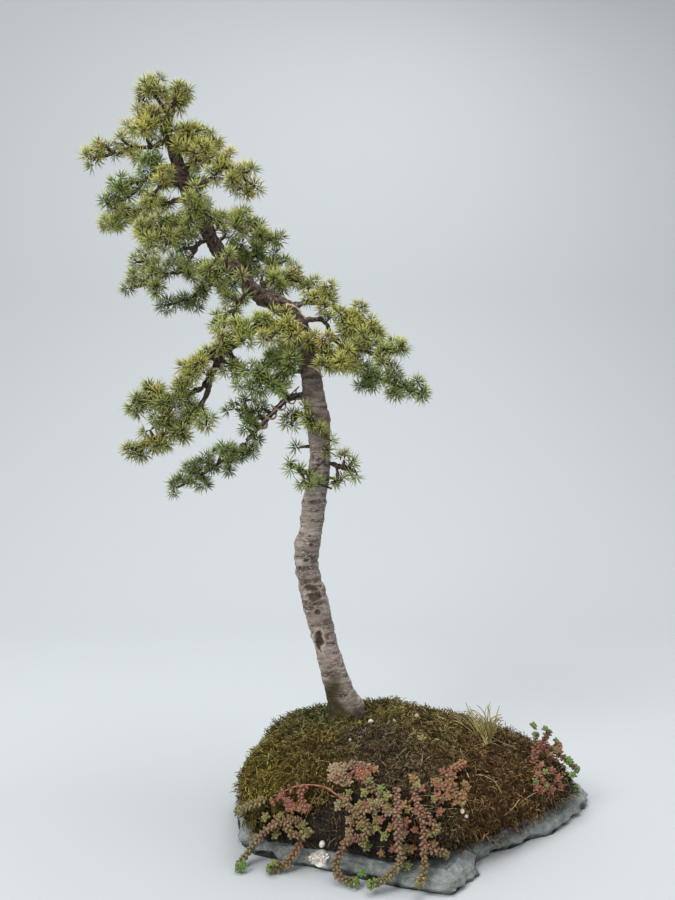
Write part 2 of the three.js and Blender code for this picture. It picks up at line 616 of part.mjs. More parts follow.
// A tapered piece of wood along a route, and the room that it takes
function limbSolid(curve, length, thickness, sides, group, limb) {
  const step = group === 'limb' ? thickness(0) * LIMB_STEP : STUB_STEP;
  const steps = Math.max(group === 'limb' ? 2 : 1, Math.round(length / step));
  const places = Array.from({ length: steps + 1 }, (_, i) => (length * i) / steps);
  const stations = stationsAlong(curve, places);
  for (let i = 1; i < stations.length; i++) {
    takeRoom({
      a: stations[i - 1].point, b: stations[i].point,
      ra: thickness(places[i - 1]), rb: thickness(places[i]), owner: 'wood', group, limb
    });
  }
  const rings = stations.map((station) => ringAt(station, thickness(station.place), sides));
  return solidOf(loft(rings, stations[0].point, stations[steps].point));
}

// Trunk with its root flare, its swellings at the old wounds, and the plug that stands in the soil
const trunkCurve = routeOf(TRUNK.map(([x, y, z]) => [x, y, z]));
function buildTrunk() {
  const shares = TRUNK.map(([x, y, z]) => {
    let best = 0;
    for (let i = 1; i <= 400; i++) {
      const nearer = trunkCurve.getPointAt(i / 400).distanceTo(vector([x, y, z]));
      if (nearer < trunkCurve.getPointAt(best / 400).distanceTo(vector([x, y, z]))) best = i;
    }
    return best / 400;
  });
  const length = trunkCurve.getLength();
  const stations = stationsAlong(trunkCurve, shares.map((share) => share * length));
  const rings = stations.map((station, i) => {
    const radius = TRUNK[i][3] / 2;
    const flare = i === 0 ? 0 : Math.max(0, 0.12 - i * 0.04);
    const uneven = i === 0 ? 0 : 0.035;
    return ringAt(station, (angle) => radius
      * (1 + flare * Math.cos(3 * angle + 0.6) + uneven * Math.sin(2 * angle + i * 1.3)), TRUNK_SIDES);
  });
  for (let i = 1; i < stations.length; i++) {
    takeRoom({
      a: stations[i - 1].point, b: stations[i].point,
      ra: TRUNK[i - 1][3] / 2, rb: TRUNK[i][3] / 2, owner: 'wood', group: 'trunk', limb: 'trunk'
    });
  }
  const foot = vector([...TRUNK_FOOT, PLUG_DEPTH]);
  const plug = ringAt({ point: foot, across: new THREE.Vector3(1, 0, 0), side: new THREE.Vector3(0, 1, 0) },
    PLUG_RADII[0], TRUNK_SIDES);
  return solidOf(loft([plug, ...rings], foot, stations[stations.length - 1].point));
}

// The plain hole in the soil that the trunk's plug stands in
function plugHole() {
  const across = new THREE.Vector3(1, 0, 0);
  const side = new THREE.Vector3(0, 1, 0);
  const [low, high] = [PLUG_DEPTH - NODE_GAP, HOLE_TOP].map((z) => vector([...TRUNK_FOOT, z]));
  const flareOut = (PLUG_RADII[1] - PLUG_RADII[0]) / (TRUNK[0][2] - PLUG_DEPTH);
  const radius = PLUG_RADII[0] + NODE_GAP + HOLE_GAP;
  const radii = [radius, radius + flareOut * (HOLE_TOP - PLUG_DEPTH)];
  const rings = [low, high].map((point, i) => ringAt({ point, across, side }, radii[i], TRUNK_SIDES));
  return solidOf(loft(rings, low, high));
}

// Where a route leaves the wood by a few millimetres
function leavesWood(curve) {
  const length = curve.getLength();
  for (let place = 2; place < length; place += 0.5) {
    const point = curve.getPointAt(place / length);
    const ahead = point.clone().addScaledVector(curve.getTangentAt(place / length), 0.01);
    const probe = { a: point, b: ahead, ra: 0, rb: 0 };
    let space = Infinity;
    for (const rod of nearRods(probe)) {
      if (rod.group === 'trunk' || rod.group === 'limb') space = Math.min(space, spaceBetween(probe, rod));
    }
    if (space > CLEAR_OF_WOOD) return place;
  }
  throw new Error('A route never leaves the wood');
}

// A twig's skin: three-sided, turned by half a side at each ring, with a short band for each rosette
function twigSkin(curve, start, radius, firstRosette) {
  const length = curve.getLength();
  const centres = [length - ROSETTE_HALF];
  while (centres[0] - ROSETTE_SPACING > firstRosette) centres.unshift(centres[0] - ROSETTE_SPACING);
  const places = [start, ...centres.flatMap((centre) => [centre - ROSETTE_HALF, centre + ROSETTE_HALF])];
  const stations = stationsAlong(curve, places);
  const rings = stations.map((station, i) => ringAt(station, radius, TWIG_SIDES, (i * Math.PI) / TWIG_SIDES));
  const last = stations[stations.length - 1];
  const skin = loft(rings, stations[0].point, last.point.clone().addScaledVector(last.along, TWIG_TIP));
  const slots = centres.flatMap((centre, n) => Array.from({ length: TWIG_SIDES * 2 }, (_, k) => ({
    face: (1 + n * 2) * TWIG_SIDES * 2 + k, lean: NEEDLE_LEANS[k % 2], station: stations[1 + n * 2], n
  })));
  const fan = (rings.length - 1) * TWIG_SIDES * 2;
  for (let k = 0; k < TWIG_SIDES; k++) {
    slots.push({ face: fan + k * 2 + 1, lean: END_NEEDLE_LEAN, station: last, n: centres.length - 1 });
  }
  return { skin, slots, stations, radius, centres };
}

// Lays out a spray's twigs first, so that needles can be kept clear of every twig
const twigs = [];
function layOutSpray(name, routes) {
  routes.forEach((points, index) => {
    const curve = routeOf(points);
    const isMain = index === 0;
    const bark = isMain ? leavesWood(curve) : 0;
    const start = isMain ? bark + SEAT_GAP : 0;
    const radius = isMain ? TWIG_RADIUS : SIDE_TWIG_RADIUS;
    const twig = { name, isMain, bark, curve, ...twigSkin(curve, start, radius, start + BARE_START) };
    twigs.push(twig);
    for (let i = 1; i < twig.stations.length; i++) {
      takeRoom({
        a: twig.stations[i - 1].point, b: twig.stations[i].point, ra: twig.radius, rb: twig.radius,
        owner: name, group: twig, from: twig.stations[i - 1].place, to: twig.stations[i].place
      });
    }
  });
}

// Raises one face of a twig into a needle, if there is room for it past its first part
const NEEDLE_ROOT = 0.14;
function raiseNeedle(twig, slot, length, spread) {
  const { points, faces } = twig.skin;
  const [a, b, c] = faces[slot.face];
  const root = points[a].clone().add(points[b]).add(points[c]).divideScalar(3);
  const { point, along } = slot.station;
  const out = root.clone().sub(point);
  out.addScaledVector(along, -out.dot(along)).normalize();
  out.applyAxisAngle(along, THREE.MathUtils.degToRad(between(-spread, spread)));
  const lean = THREE.MathUtils.degToRad(slot.lean + between(-spread, spread) * 0.6);
  const heading = out.multiplyScalar(Math.cos(lean)).addScaledVector(along, Math.sin(lean));
  const tip = root.clone().addScaledVector(heading, length);
  const rosette = `${twig.name} ${twigs.indexOf(twig)} ${slot.n}`;
  const needle = {
    a: root.clone().lerp(tip, NEEDLE_ROOT), b: tip,
    ra: NEEDLE_RADIUS, rb: 0.1, owner: twig.name, group: rosette
  };
  const centre = twig.centres[slot.n];
  for (const rod of nearRods(needle)) {
    if (rod.group === rosette) continue;
    if (rod.group === twig && Math.max(rod.from - centre, centre - rod.to) < ROSETTE_HALF * 2) continue;
    if (spaceBetween(needle, rod) < (rod.owner === twig.name ? OWN_GAP : NODE_GAP)) return false;
  }
  takeRoom(needle);
  const apex = points.push(tip) - 1;
  faces[slot.face] = [a, b, apex];
  faces.push([b, c, apex], [c, a, apex]);
  return true;
}

// Where a needle finds no room it is tried again, shorter and turned further
const NEEDLE_TRIES = [[1, 8], [0.95, 14], [0.8, 18], [0.62, 20]];
function raiseNeedles(twig) {
  for (const slot of twig.slots) {
    const length = NEEDLE_LENGTH * between(0.9, 1.06);
    NEEDLE_TRIES.some(([share, spread]) => raiseNeedle(twig, slot, length * share, spread));
  }
}

// Training wire: an open coil round a limb, turned so that it passes clear of other wood
function placeNear(curve, target) {
  const length = curve.getLength();
  const places = Array.from({ length: 500 }, (_, i) => (length * i) / 499);
  const apart = places.map((place) => curve.getPointAt(place / length).distanceTo(vector(target)));
  return places[apart.indexOf(Math.min(...apart))];
}

function coilPoints({ curve, thickness, from, to, pitch }, phase) {
  const count = Math.round(((to - from) / pitch) * COIL_STEPS);
  const places = Array.from({ length: count + 1 }, (_, i) => from + ((to - from) * i) / count);
  return stationsAlong(curve, places).map((station, i) => {
    const angle = phase + (i / COIL_STEPS) * 2 * Math.PI;
    const clear = thickness(station.place) * LIMB_UNEVEN + WIRE_RADIUS + WIRE_GAP;
    const reach = clear / Math.cos(Math.PI / COIL_STEPS);
    return station.point.clone()
      .addScaledVector(station.across, reach * Math.cos(angle))
      .addScaledVector(station.side, reach * Math.sin(angle));
  });
}

function rodsThrough(points, radius, owner) {
  return points.slice(1).map((b, i) => ({ a: points[i], b, ra: radius, rb: radius, owner, group: owner }));
}

function spaceForCoil(coil, phase) {
  let least = Infinity;
  for (const rod of rodsThrough(coilPoints(coil, phase), WIRE_RADIUS, coil.name)) {
    for (const other of nearRods(rod)) {
      if (other.limb !== coil.limb) least = Math.min(least, spaceBetween(rod, other));
    }
  }
  return least;
}

function buildWire(coil) {
  const phases = Array.from({ length: COIL_PHASES }, (_, i) => (i * 2 * Math.PI) / COIL_PHASES);
  const spaces = phases.map((phase) => spaceForCoil(coil, phase));
  const points = coilPoints(coil, phases[spaces.indexOf(Math.max(...spaces))]);
  rodsThrough(points, WIRE_RADIUS, coil.name).forEach(takeRoom);
  let across = new THREE.Vector3(0, 0, 1);
  const sections = points.map((point, i) => {
    const before = points[Math.max(0, i - 1)];
    const after = points[Math.min(points.length - 1, i + 1)];
    const along = after.clone().sub(before).normalize();
    across = across.clone().addScaledVector(along, -across.dot(along)).normalize();
    return ringAt({ point, across, side: along.clone().cross(across) }, WIRE_RADIUS, WIRE_SIDES);
  });
  return solidOf(loft(sections, points[0], points[points.length - 1]));
}

// The whole tree: wood first, then the wires, then every needle where there is room
const tree = new THREE.Group();
let wood = buildTrunk();
const limbCurves = LIMBS.map(({ points }) => routeOf(points));
const limbThickness = LIMBS.map(({ radii }, i) => (place) =>
  THREE.MathUtils.lerp(radii[0], radii[1], place / limbCurves[i].getLength()));
limbCurves.forEach((curve, i) => {
  wood = wood.add(limbSolid(curve, curve.getLength(), limbThickness[i], LIMB_SIDES, 'limb', i));
});
for (const [name, routes] of Object.entries(SPRAYS)) layOutSpray(name, routes);
for (const twig of twigs.filter((one) => one.isMain)) {
  const thickness = (place) => THREE.MathUtils.lerp(STUB_RADIUS + 0.6, TWIG_RADIUS, place / twig.bark);
  wood = wood.add(limbSolid(twig.curve, twig.bark, thickness, STUB_SIDES, 'stub'));
}
tree.add(meshOf('tree_wood', COLOURS.bark, mainBody(wood)));

const trunkThickness = (place) => {
  const height = trunkCurve.getPointAt(place / trunkCurve.getLength()).z;
  return reading(TRUNK.map(([, , z, thick]) => [z, thick / 2]), height);
};
const COILS = [
  { name: 'wire_on_bend', curve: trunkCurve, limb: 'trunk', thickness: trunkThickness,
    from: placeNear(trunkCurve, [-36, -1, 552]), to: placeNear(trunkCurve, [-46, 3, 583]), pitch: 14 },
  { name: 'wire_on_left_limb', curve: limbCurves[2], limb: 2, thickness: limbThickness[2],
    from: placeNear(limbCurves[2], [-106, -26, 572]), to: placeNear(limbCurves[2], [-150, -43, 513]),
    pitch: 19 },
  { name: 'wire_on_lower_limb', curve: limbCurves[3], limb: 3, thickness: limbThickness[3],
    from: placeNear(limbCurves[3], [-50, 5, 497]), to: placeNear(limbCurves[3], [-104, 29, 456]), pitch: 18 }
];
for (const coil of COILS) tree.add(meshOf(coil.name, COLOURS.wire, buildWire(coil), 0.45, 0.7));

twigs.forEach(raiseNeedles);
for (const name of Object.keys(SPRAYS)) {
  const parts = twigs.filter((twig) => twig.name === name).map((twig) => solidOf(twig.skin));
  const joined = parts.reduce((whole, part) => whole.add(part));
  tree.add(meshOf(`spray_${name}`, COLOURS.needle, mainBody(joined)));
}

// Stonecrop: creeping stems with fleshy leaves, rooted in the soil and trailing over the slab's edge
const STONECROP = {
  beige: [
    [[8, -152, 86], [5, -141, 95], [16, -134, 100], [33, -138, 98]],
    [[13, -135, 99], [29, -153, 90], [43, -164, 84]]],
  middle: [
    [[12, -158, 79], [9, -163, 72], [22, -168, 66], [29, -174, 57], [25, -175, 40]],
    [[18, -167, 68], [31, -170, 72], [39, -171, 77]],
    [[26, -175, 44], [14, -172, 45], [6, -168, 34], [0, -169, 22], [-1, -173, 11], [8, -177, 6],
      [18, -182, 7]],
    [[10, -161, 75], [0, -159, 80], [-13, -152, 85], [-34, -143, 83], [-52, -141, 77], [-67, -143, 66]],
    [[-34, -143, 83], [-38, -148, 73], [-30, -156, 66]]],
  long_chain: [
    [[59, -162, 89], [59, -174, 77], [59, -182, 60], [59, -183, 44], [62, -182, 29], [55, -184, 20],
      [43, -189, 13], [31, -190, 10]]],
  right_chain: [
    [[76, -160, 88], [79, -170, 78], [84, -177, 62], [84, -180, 46], [85, -179, 30], [84, -186, 22],
      [78, -196, 14]],
    [[80, -172, 74], [89, -174, 68], [97, -177, 54]],
    [[84, -180, 42], [96, -178, 36], [107, -170, 27]]],
  orange: [
    [[106, -141, 90], [118, -136, 94], [134, -117, 94]],
    [[114, -139, 93], [121, -152, 79], [127, -154, 70]]],
  right_clump: [
    [[224, -66, 70], [229, -60, 82], [231, -52, 98]],
    [[228, -61, 79], [242, -44, 85], [252, -34, 94]],
    [[240, -46, 84], [256, -36, 74], [265, -30, 77]],
    [[254, -38, 75], [272, -40, 62], [283, -42, 52]]],
  left_edge: [
    [[-76, -137, 66], [-88, -138, 60], [-99, -132, 52], [-106, -124, 46]]],
  left_trail: [
    [[-36, -149, 50], [-54, -149, 49], [-69, -147, 42], [-82, -143, 28], [-92, -143, 14], [-98, -146, 7],
      [-100, -156, 6]],
    [[-52, -149, 49], [-46, -154, 38], [-32, -157, 40]]],
  front_trail: [
    [[-36, -150, 33], [-42, -152, 21], [-50, -154, 9], [-61, -157, 6], [-69, -158, 6]]]
};

// A fleshy leaf: a face of the stem drawn out into a spindle, widest halfway
function raiseLeaf(stem, slot) {
  const { points, faces } = stem.skin;
  const corners = faces[slot.face];
  const root = new THREE.Vector3();
  corners.forEach((corner) => root.addScaledVector(points[corner], 1 / 3));
  const { point, along } = slot.station;
  const out = root.clone().sub(point);
  out.addScaledVector(along, -out.dot(along)).normalize();
  const lean = THREE.MathUtils.degToRad(slot.lean + between(-8, 8));
  const heading = out.clone().multiplyScalar(Math.cos(lean)).addScaledVector(along, Math.sin(lean));
  const length = LEAF_LENGTH * between(0.85, 1.1);
  const tip = root.clone().addScaledVector(heading, length);
  const belly = root.clone().addScaledVector(heading, length * 0.55);
  const leaf = {
    a: root.clone().lerp(tip, 0.3), b: tip, ra: LEAF_RADIUS * 0.8, rb: LEAF_RADIUS * 0.5,
    owner: stem.name, group: `${stem.name} ${slot.n}`
  };
  for (const rod of nearRods(leaf)) {
    if (rod.group === leaf.group || rod.group === stem) continue;
    if (spaceBetween(leaf, rod) < (rod.owner === stem.name ? OWN_GAP : NODE_GAP)) return;
  }
  takeRoom(leaf);
  const bellyCorners = corners.map((corner) => {
    const offset = points[corner].clone().sub(root);
    offset.addScaledVector(heading, -offset.dot(heading)).setLength(LEAF_RADIUS);
    return points.push(belly.clone().add(offset)) - 1;
  });
  const apex = points.push(tip) - 1;
  for (let k = 0; k < 3; k++) {
    const next = (k + 1) % 3;
    faces.push([corners[k], corners[next], bellyCorners[k]]);
    faces.push([bellyCorners[k], corners[next], bellyCorners[next]]);
    if (k > 0) faces.push([bellyCorners[k], bellyCorners[next], apex]);
  }
  faces[slot.face] = [bellyCorners[0], bellyCorners[1], apex];
}

function stemSkin(name, points) {
  const curve = routeOf(points);
  const length = curve.getLength();
  const centres = [length - LEAF_BASE];
  while (centres[0] - LEAF_SPACING > BARE_START) centres.unshift(centres[0] - LEAF_SPACING);
  const places = [0, ...centres.flatMap((centre) => [centre - LEAF_BASE, centre + LEAF_BASE])];
  const stations = stationsAlong(curve, places);
  const rings = stations.map((station, i) => ringAt(station, STEM_RADIUS, 3, (i * Math.PI) / 3));
  const last = stations[stations.length - 1];
  const skin = loft(rings, stations[0].point, last.point.clone().addScaledVector(last.along, STEM_RADIUS));
  const slots = [];
  centres.forEach((centre, n) => {
    const faceOf = (k, half) => ((1 + n * 2) * 3 + (k % 3)) * 2 + half;
    const station = stations[1 + n * 2];
    const isTip = n === centres.length - 1;
    const leafOn = (face) => slots.push({ face, lean: LEAF_LEAN, station, n });
    leafOn(faceOf(n, 0));
    leafOn(faceOf(n + 1, 1));
    if (isTip) leafOn(faceOf(n + 1, 0));
  });
  const fan = (rings.length - 1) * 6;
  for (let k = 0; k < 3; k++) {
    slots.push({ face: fan + k * 2 + 1, lean: END_LEAF_LEAN, station: last, n: centres.length - 1 });
  }
  for (let i = 1; i < stations.length; i++) {
    takeRoom({
      a: stations[i - 1].point, b: stations[i].point,
      ra: STEM_RADIUS, rb: STEM_RADIUS, owner: name, group: name
    });
  }
  return { name, skin, slots, curve };
}

// A peg that goes down into the soil from the first point of a stem, and the plain hole for it
function rootPeg([x, y, z], radius, depth) {
  const inward = new THREE.Vector3(SOIL_CENTRE[0] - x, SOIL_CENTRE[1] - y, -40).normalize();
  const top = new THREE.Vector3(x, y, z);
  const across = new THREE.Vector3(0, 0, 1).addScaledVector(inward, -inward.z).normalize();
  const side = inward.clone().cross(across);
  const rings = [0, depth].map((place) =>
    ringAt({ point: top.clone().addScaledVector(inward, place), across, side }, radius, 4));
  return solidOf(loft(rings, top, top.clone().addScaledVector(inward, depth)));
}

const slab = buildSlab();
let soil = solidOf(moundSkin(SOIL_SIDES, 7, () => 0)).subtract(plugHole());
const soilCutter = widened(solidOf(moundSkin(SOIL_SIDES, 7, () => 0, 6)));
const mossBlob = solidOf(moundSkin(MOSS_SIDES, 7, mossDepth));
let moss = mossBlob.subtract(soilCutter).subtract(plugHole());

// Nothing that grows on the ground goes below its surface, the slab's or the floor's, but for its root
const floorBlock = new THREE.BoxGeometry(...FLOOR_SIZE).translate(0, 0, FLOOR_GAP - FLOOR_SIZE[2] / 2);
const keepOut = [
  soilCutter, widened(mossBlob, 1.006), widened(slab.translate([0, 0, 2 * SEAT_GAP])), widened(slab),
  solidOf(skinOf(floorBlock))
];
const plants = new THREE.Group();
for (const [name, routes] of Object.entries(STONECROP)) {
  const stems = routes.map((points) => stemSkin(`stonecrop_${name}`, points));
  for (const stem of stems) stem.slots.forEach((slot) => raiseLeaf(stem, slot));
  let plant = stems.map((stem) => solidOf(stem.skin)).reduce((whole, part) => whole.add(part));
  for (const solid of keepOut) plant = plant.subtract(solid);
  plant = plant.add(rootPeg(routes[0][0], STEM_RADIUS, ROOT_DEPTH));
  const hole = rootPeg(routes[0][0], STEM_RADIUS + HOLE_GAP, ROOT_DEPTH + HOLE_GAP);
  soil = soil.subtract(hole);
  moss = moss.subtract(hole);
  plants.add(meshOf(`stonecrop_${name}`, COLOURS.sedum, mainBody(plant), 0.6));
}

// Grass tuft: blades drawn out of the crown of one root
const BLADE_TIPS = [
  [148, -46, 119], [157, -30, 117], [165, -52, 121], [182, -38, 126], [193, -50, 117],
  [197, -34, 102], [170, -66, 96]
];
function buildGrass(radius, withBlades) {
  const across = new THREE.Vector3(-1, 0, 0);
  const side = new THREE.Vector3(0, -1, 0);
  const foot = vector(GRASS_FOOT);
  const top = withBlades ? GRASS_CROWN : GRASS_CROWN + SLAB_THICK;
  const crown = vector([GRASS_FOOT[0], GRASS_FOOT[1], top]);
  const count = BLADE_TIPS.length;
  const rings = [foot, crown].map((point) => ringAt({ point, across, side }, radius, count));
  const skin = loft(rings, foot, crown.clone().setZ(crown.z + 1));
  if (withBlades) {
    BLADE_TIPS.forEach((tip, k) => {
      const index = count * 2 + k * 2 + 1;
      const [a, b, c] = skin.faces[index];
      const apex = skin.points.push(vector(tip)) - 1;
      skin.faces[index] = [a, b, apex];
      skin.faces.push([b, c, apex], [c, a, apex]);
    });
  }
  return solidOf(skin);
}
const grassHole = buildGrass(GRASS_RADIUS + HOLE_GAP, false);
soil = soil.subtract(grassHole);
moss = moss.subtract(grassHole);
plants.add(meshOf('grass_tuft', COLOURS.straw, buildGrass(GRASS_RADIUS, true)));

// Pumice grains, half sunk in dents in the moss
const GRAINS = { pumice_front: [40, -33, 105, 4], pumice_back: [98, -4, 101.5, 3.5] };
for (const [name, [x, y, z, radius]] of Object.entries(GRAINS)) {
  const grain = (extra) => solidOf(skinOf(new THREE.IcosahedronGeometry(radius + extra).scale(1, 0.85, 0.8)
    .translate(x, y, z)));
  moss = moss.subtract(grain(HOLE_GAP));
  soil = soil.subtract(grain(HOLE_GAP));
  plants.add(meshOf(name, COLOURS.pumice, grain(0)));
}

const ground = new THREE.Group();
ground.add(meshOf('slate_slab', COLOURS.slate, slab, 0.7));
ground.add(meshOf('soil_mound', COLOURS.soil, mainBody(soil), 1));
ground.add(meshOf('moss_mat', COLOURS.moss, mainBody(moss), 1));

const bonsai = new THREE.Group();
bonsai.add(ground, tree, plants);
export default bonsai;
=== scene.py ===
import math
import random

import bmesh
import bpy
from mathutils import Matrix, Vector, noise
from mathutils.bvhtree import BVHTree


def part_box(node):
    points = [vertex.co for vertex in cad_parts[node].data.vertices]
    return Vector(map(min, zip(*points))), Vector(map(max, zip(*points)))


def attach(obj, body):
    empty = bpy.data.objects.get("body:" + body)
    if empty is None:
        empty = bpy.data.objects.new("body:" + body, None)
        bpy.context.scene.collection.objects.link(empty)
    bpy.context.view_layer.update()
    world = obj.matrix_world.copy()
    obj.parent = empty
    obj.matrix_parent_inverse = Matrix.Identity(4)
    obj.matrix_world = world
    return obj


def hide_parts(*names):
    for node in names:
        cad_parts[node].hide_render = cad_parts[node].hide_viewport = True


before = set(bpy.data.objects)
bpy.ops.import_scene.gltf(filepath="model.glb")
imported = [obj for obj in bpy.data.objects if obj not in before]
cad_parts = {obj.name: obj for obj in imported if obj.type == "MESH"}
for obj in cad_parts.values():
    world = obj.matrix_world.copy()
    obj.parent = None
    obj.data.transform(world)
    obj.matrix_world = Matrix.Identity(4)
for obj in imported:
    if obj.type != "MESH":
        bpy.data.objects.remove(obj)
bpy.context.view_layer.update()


# Slate slab
# A split natural slate, 18 mm thick, that lies flat on the table. Its rim is broken back in flakes
# and bites, darkened along its lowest 6 mm as painted shade, with a white vein at the front.
SHEET_TOPS_MM = (1.4, 3.0, 4.9, 6.4, 8.3, 9.7, 11.4, 12.8, 14.1, 15.3, 16.3, 17.2)
SHEET_LIP_MM = 0.3
RIM_GRAIN = 0.0046
RIM_BACK_MM = 1.0
FLAKE_MM = 6.5
BITE_MM = 15
STEP_DOWN = 0.0005
VEIN_REACH = 0.0085
VEIN_EDGE = 0.001
SLATE_TOP = ((84, 95, 98), (118, 129, 131))
SLATE_RIM = ((100, 108, 107), (156, 162, 156))
RIM_PITS = (70, 76, 76)
SLATE_PALE = (168, 172, 166)
SLATE_BROWN = (84, 76, 64)
# Painted shade along the foot of the slab's rim
SLATE_FOOT_PAINTED_SHADE = (48, 50, 50)
VEIN_WHITE = (232, 232, 224)
# The eye of the picture in metres, the place of its horizon and its focal length in pixels
EYE = Vector((0, -0.84, 0.42))
HORIZON_AT = (337.5, 458)
FOCAL = 676
VEIN_AT = (318, 859)


def merged_copy(node):
    """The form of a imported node, with its loose triangles joined."""
    shape = bmesh.new()
    shape.from_mesh(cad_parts[node].data)
    bmesh.ops.remove_doubles(shape, verts=shape.verts, dist=2e-5)
    return shape


def cut_across(shape, axis, places):
    """Cuts a form by planes square to an axis, so that its faces become small enough to shape."""
    way = Vector([float(part == axis) for part in range(3)])
    for place in places:
        geom = shape.verts[:] + shape.edges[:] + shape.faces[:]
        bmesh.ops.bisect_plane(shape, geom=geom, dist=1e-6, plane_co=way * place, plane_no=way)


def sight(across, down):
    """Direction from the eye through a place of the picture."""
    return Vector(((across - HORIZON_AT[0]) / FOCAL, 1, (HORIZON_AT[1] - down) / FOCAL)).normalized()


def paint(red, green, blue):
    """A given colour, as a shader takes it."""
    return tuple((part / 255) ** 2.2 for part in (red, green, blue)) + (1.0,)


def between(one, two, share):
    """A colour part of the way from one to the other."""
    return [start + (end - start) * share for start, end in zip(one, two)]


def clamped(value):
    """A value held between 0 and 1."""
    return max(0, min(1, value))


def fed(tree, node, inputs):
    """Links sockets to a node's inputs, or sets them to plain values; gives the node."""
    for socket, value in inputs.items():
        if isinstance(value, bpy.types.NodeSocket):
            tree.links.new(value, node.inputs[socket])
        else:
            node.inputs[socket].default_value = value
    return node


def put(tree, kind, inputs=None, **settings):
    """A node with its settings, fed by sockets or plain values."""
    node = tree.nodes.new(kind)
    for setting, value in settings.items():
        setattr(node, setting, value)
    return fed(tree, node, inputs or {})


def blended(tree, share, first, second, kind="MIX"):
    """Two colours, blended by a mask, through the colour sockets of a Mix node."""
    inputs = {0: share, 6: first, 7: second}
    return put(tree, "ShaderNodeMix", inputs, data_type="RGBA", blend_type=kind).outputs[2]


def new_group(name, inputs, output, kind):
    """An empty node group with named inputs and one named output."""
    group = bpy.data.node_groups.new(name, "ShaderNodeTree")
    for socket, start in inputs.items():
        sort = "Vector" if start is None else "Color" if isinstance(start, tuple) else "Float"
        made = group.interface.new_socket(name=socket, in_out="INPUT", socket_type="NodeSocket" + sort)
        if start is not None:
            made.default_value = start
    group.interface.new_socket(name=output, in_out="OUTPUT", socket_type="NodeSocket" + kind)
    given = group.nodes.new("NodeGroupInput").outputs
    result = group.nodes.new("NodeGroupOutput").inputs[output]
    return group, given, result


def patches_group():
    """Cloudy patches: a mask between 0 and 1, where noise rises from Low to High."""
    inputs = {"Vector": None, "Scale": 50.0, "Detail": 5.0, "Roughness": 0.55, "Low": 0.35, "High": 0.65}
    group, given, result = new_group("Patches", inputs, "Mask", "Float")
    look = {part: given[part] for part in ("Vector", "Scale", "Detail", "Roughness")}
    cloud = put(group, "ShaderNodeTexNoise", look)
    spread = {"Value": cloud.outputs["Fac"], "From Min": given["Low"], "From Max": given["High"]}
    group.links.new(put(group, "ShaderNodeMapRange", spread, clamp=True).outputs["Result"], result)
    return group


def weathered_group():
    """A colour with stains of another colour in patches, as strong as Amount."""
    inputs = {"Vector": None, "Colour": (1.0, 1.0, 1.0, 1.0), "Stain": (1.0, 1.0, 1.0, 1.0), "Scale": 50.0,
              "Detail": 5.0, "Low": 0.5, "High": 0.7, "Amount": 1.0}
    group, given, result = new_group("Weathered", inputs, "Colour", "Color")
    look = {part: given[part] for part in ("Vector", "Scale", "Detail", "Low", "High")}
    spots = placed(group, PATCHES, look)
    share = put(group, "ShaderNodeMath", {0: spots, 1: given["Amount"]}, operation="MULTIPLY").outputs[0]
    group.links.new(blended(group, share, given["Colour"], given["Stain"]), result)
    return group


def grain_group():
    """The height of a rough surface: lumps with a finer grain on them, as strong as Fine."""
    inputs = {"Vector": None, "Scale": 60.0, "Fine scale": 400.0, "Fine": 0.5}
    group, given, result = new_group("Grain", inputs, "Height", "Float")
    coarse = {"Vector": given["Vector"], "Scale": given["Scale"], "Detail": 4.0}
    fine = {"Vector": given["Vector"], "Scale": given["Fine scale"], "Detail": 5.0}
    lumps = put(group, "ShaderNodeTexNoise", coarse)
    grain = put(group, "ShaderNodeTexNoise", fine)
    both = {0: grain.outputs["Fac"], 1: given["Fine"], 2: lumps.outputs["Fac"]}
    group.links.new(put(group, "ShaderNodeMath", both, operation="MULTIPLY_ADD").outputs[0], result)
    return group


def placed(tree, group, inputs):
    """A node group set in a tree; gives its one output."""
    node = tree.nodes.new("ShaderNodeGroup")
    node.node_tree = group
    return fed(tree, node, inputs).outputs[0]


PATCHES = patches_group()
WEATHERED = weathered_group()
GRAIN = grain_group()


def new_finish(name, roughness):
    """A material with one shader, whose colour and bump are added to its node tree."""
    finish = bpy.data.materials.new(name)
    finish.use_nodes = True
    shader = finish.node_tree.nodes["Principled BSDF"]
    shader.inputs["Roughness"].default_value = roughness
    place = put(finish.node_tree, "ShaderNodeTexCoord").outputs["Object"]
    return finish, finish.node_tree, shader, place


def attribute(tree, name, output="Fac"):
    """A mask or colour that the mesh carries."""
    return put(tree, "ShaderNodeAttribute", attribute_name=name).outputs[output]


def bumped(tree, shader, height, depth, strength=0.8):
    """Feeds a height to the shader's normal, its depth in metres."""
    bump = put(tree, "ShaderNodeBump", {"Height": height, "Strength": strength, "Distance": depth})
    tree.links.new(bump.outputs["Normal"], shader.inputs["Normal"])


def stained(tree, place, colour, stain, **look):
    """A colour with stains in patches; the look is the Weathered group's other values."""
    values = {"Vector": place, "Colour": colour, "Stain": stain}
    values |= {part.capitalize(): value for part, value in look.items()}
    return placed(tree, WEATHERED, values)


def two_tones(tree, place, dark, light, **look):
    """Two colours that change over in cloudy patches."""
    values = {part.capitalize(): value for part, value in look.items()}
    return blended(tree, placed(tree, PATCHES, {"Vector": place} | values), paint(*dark), paint(*light))


def grained(tree, shader, place, scale, fine_scale, fine, depth, strength=0.8):
    """Bump from the Grain group, its depth in metres."""
    look = {"Vector": place, "Scale": scale, "Fine scale": fine_scale, "Fine": fine}
    bumped(tree, shader, placed(tree, GRAIN, look), depth, strength)


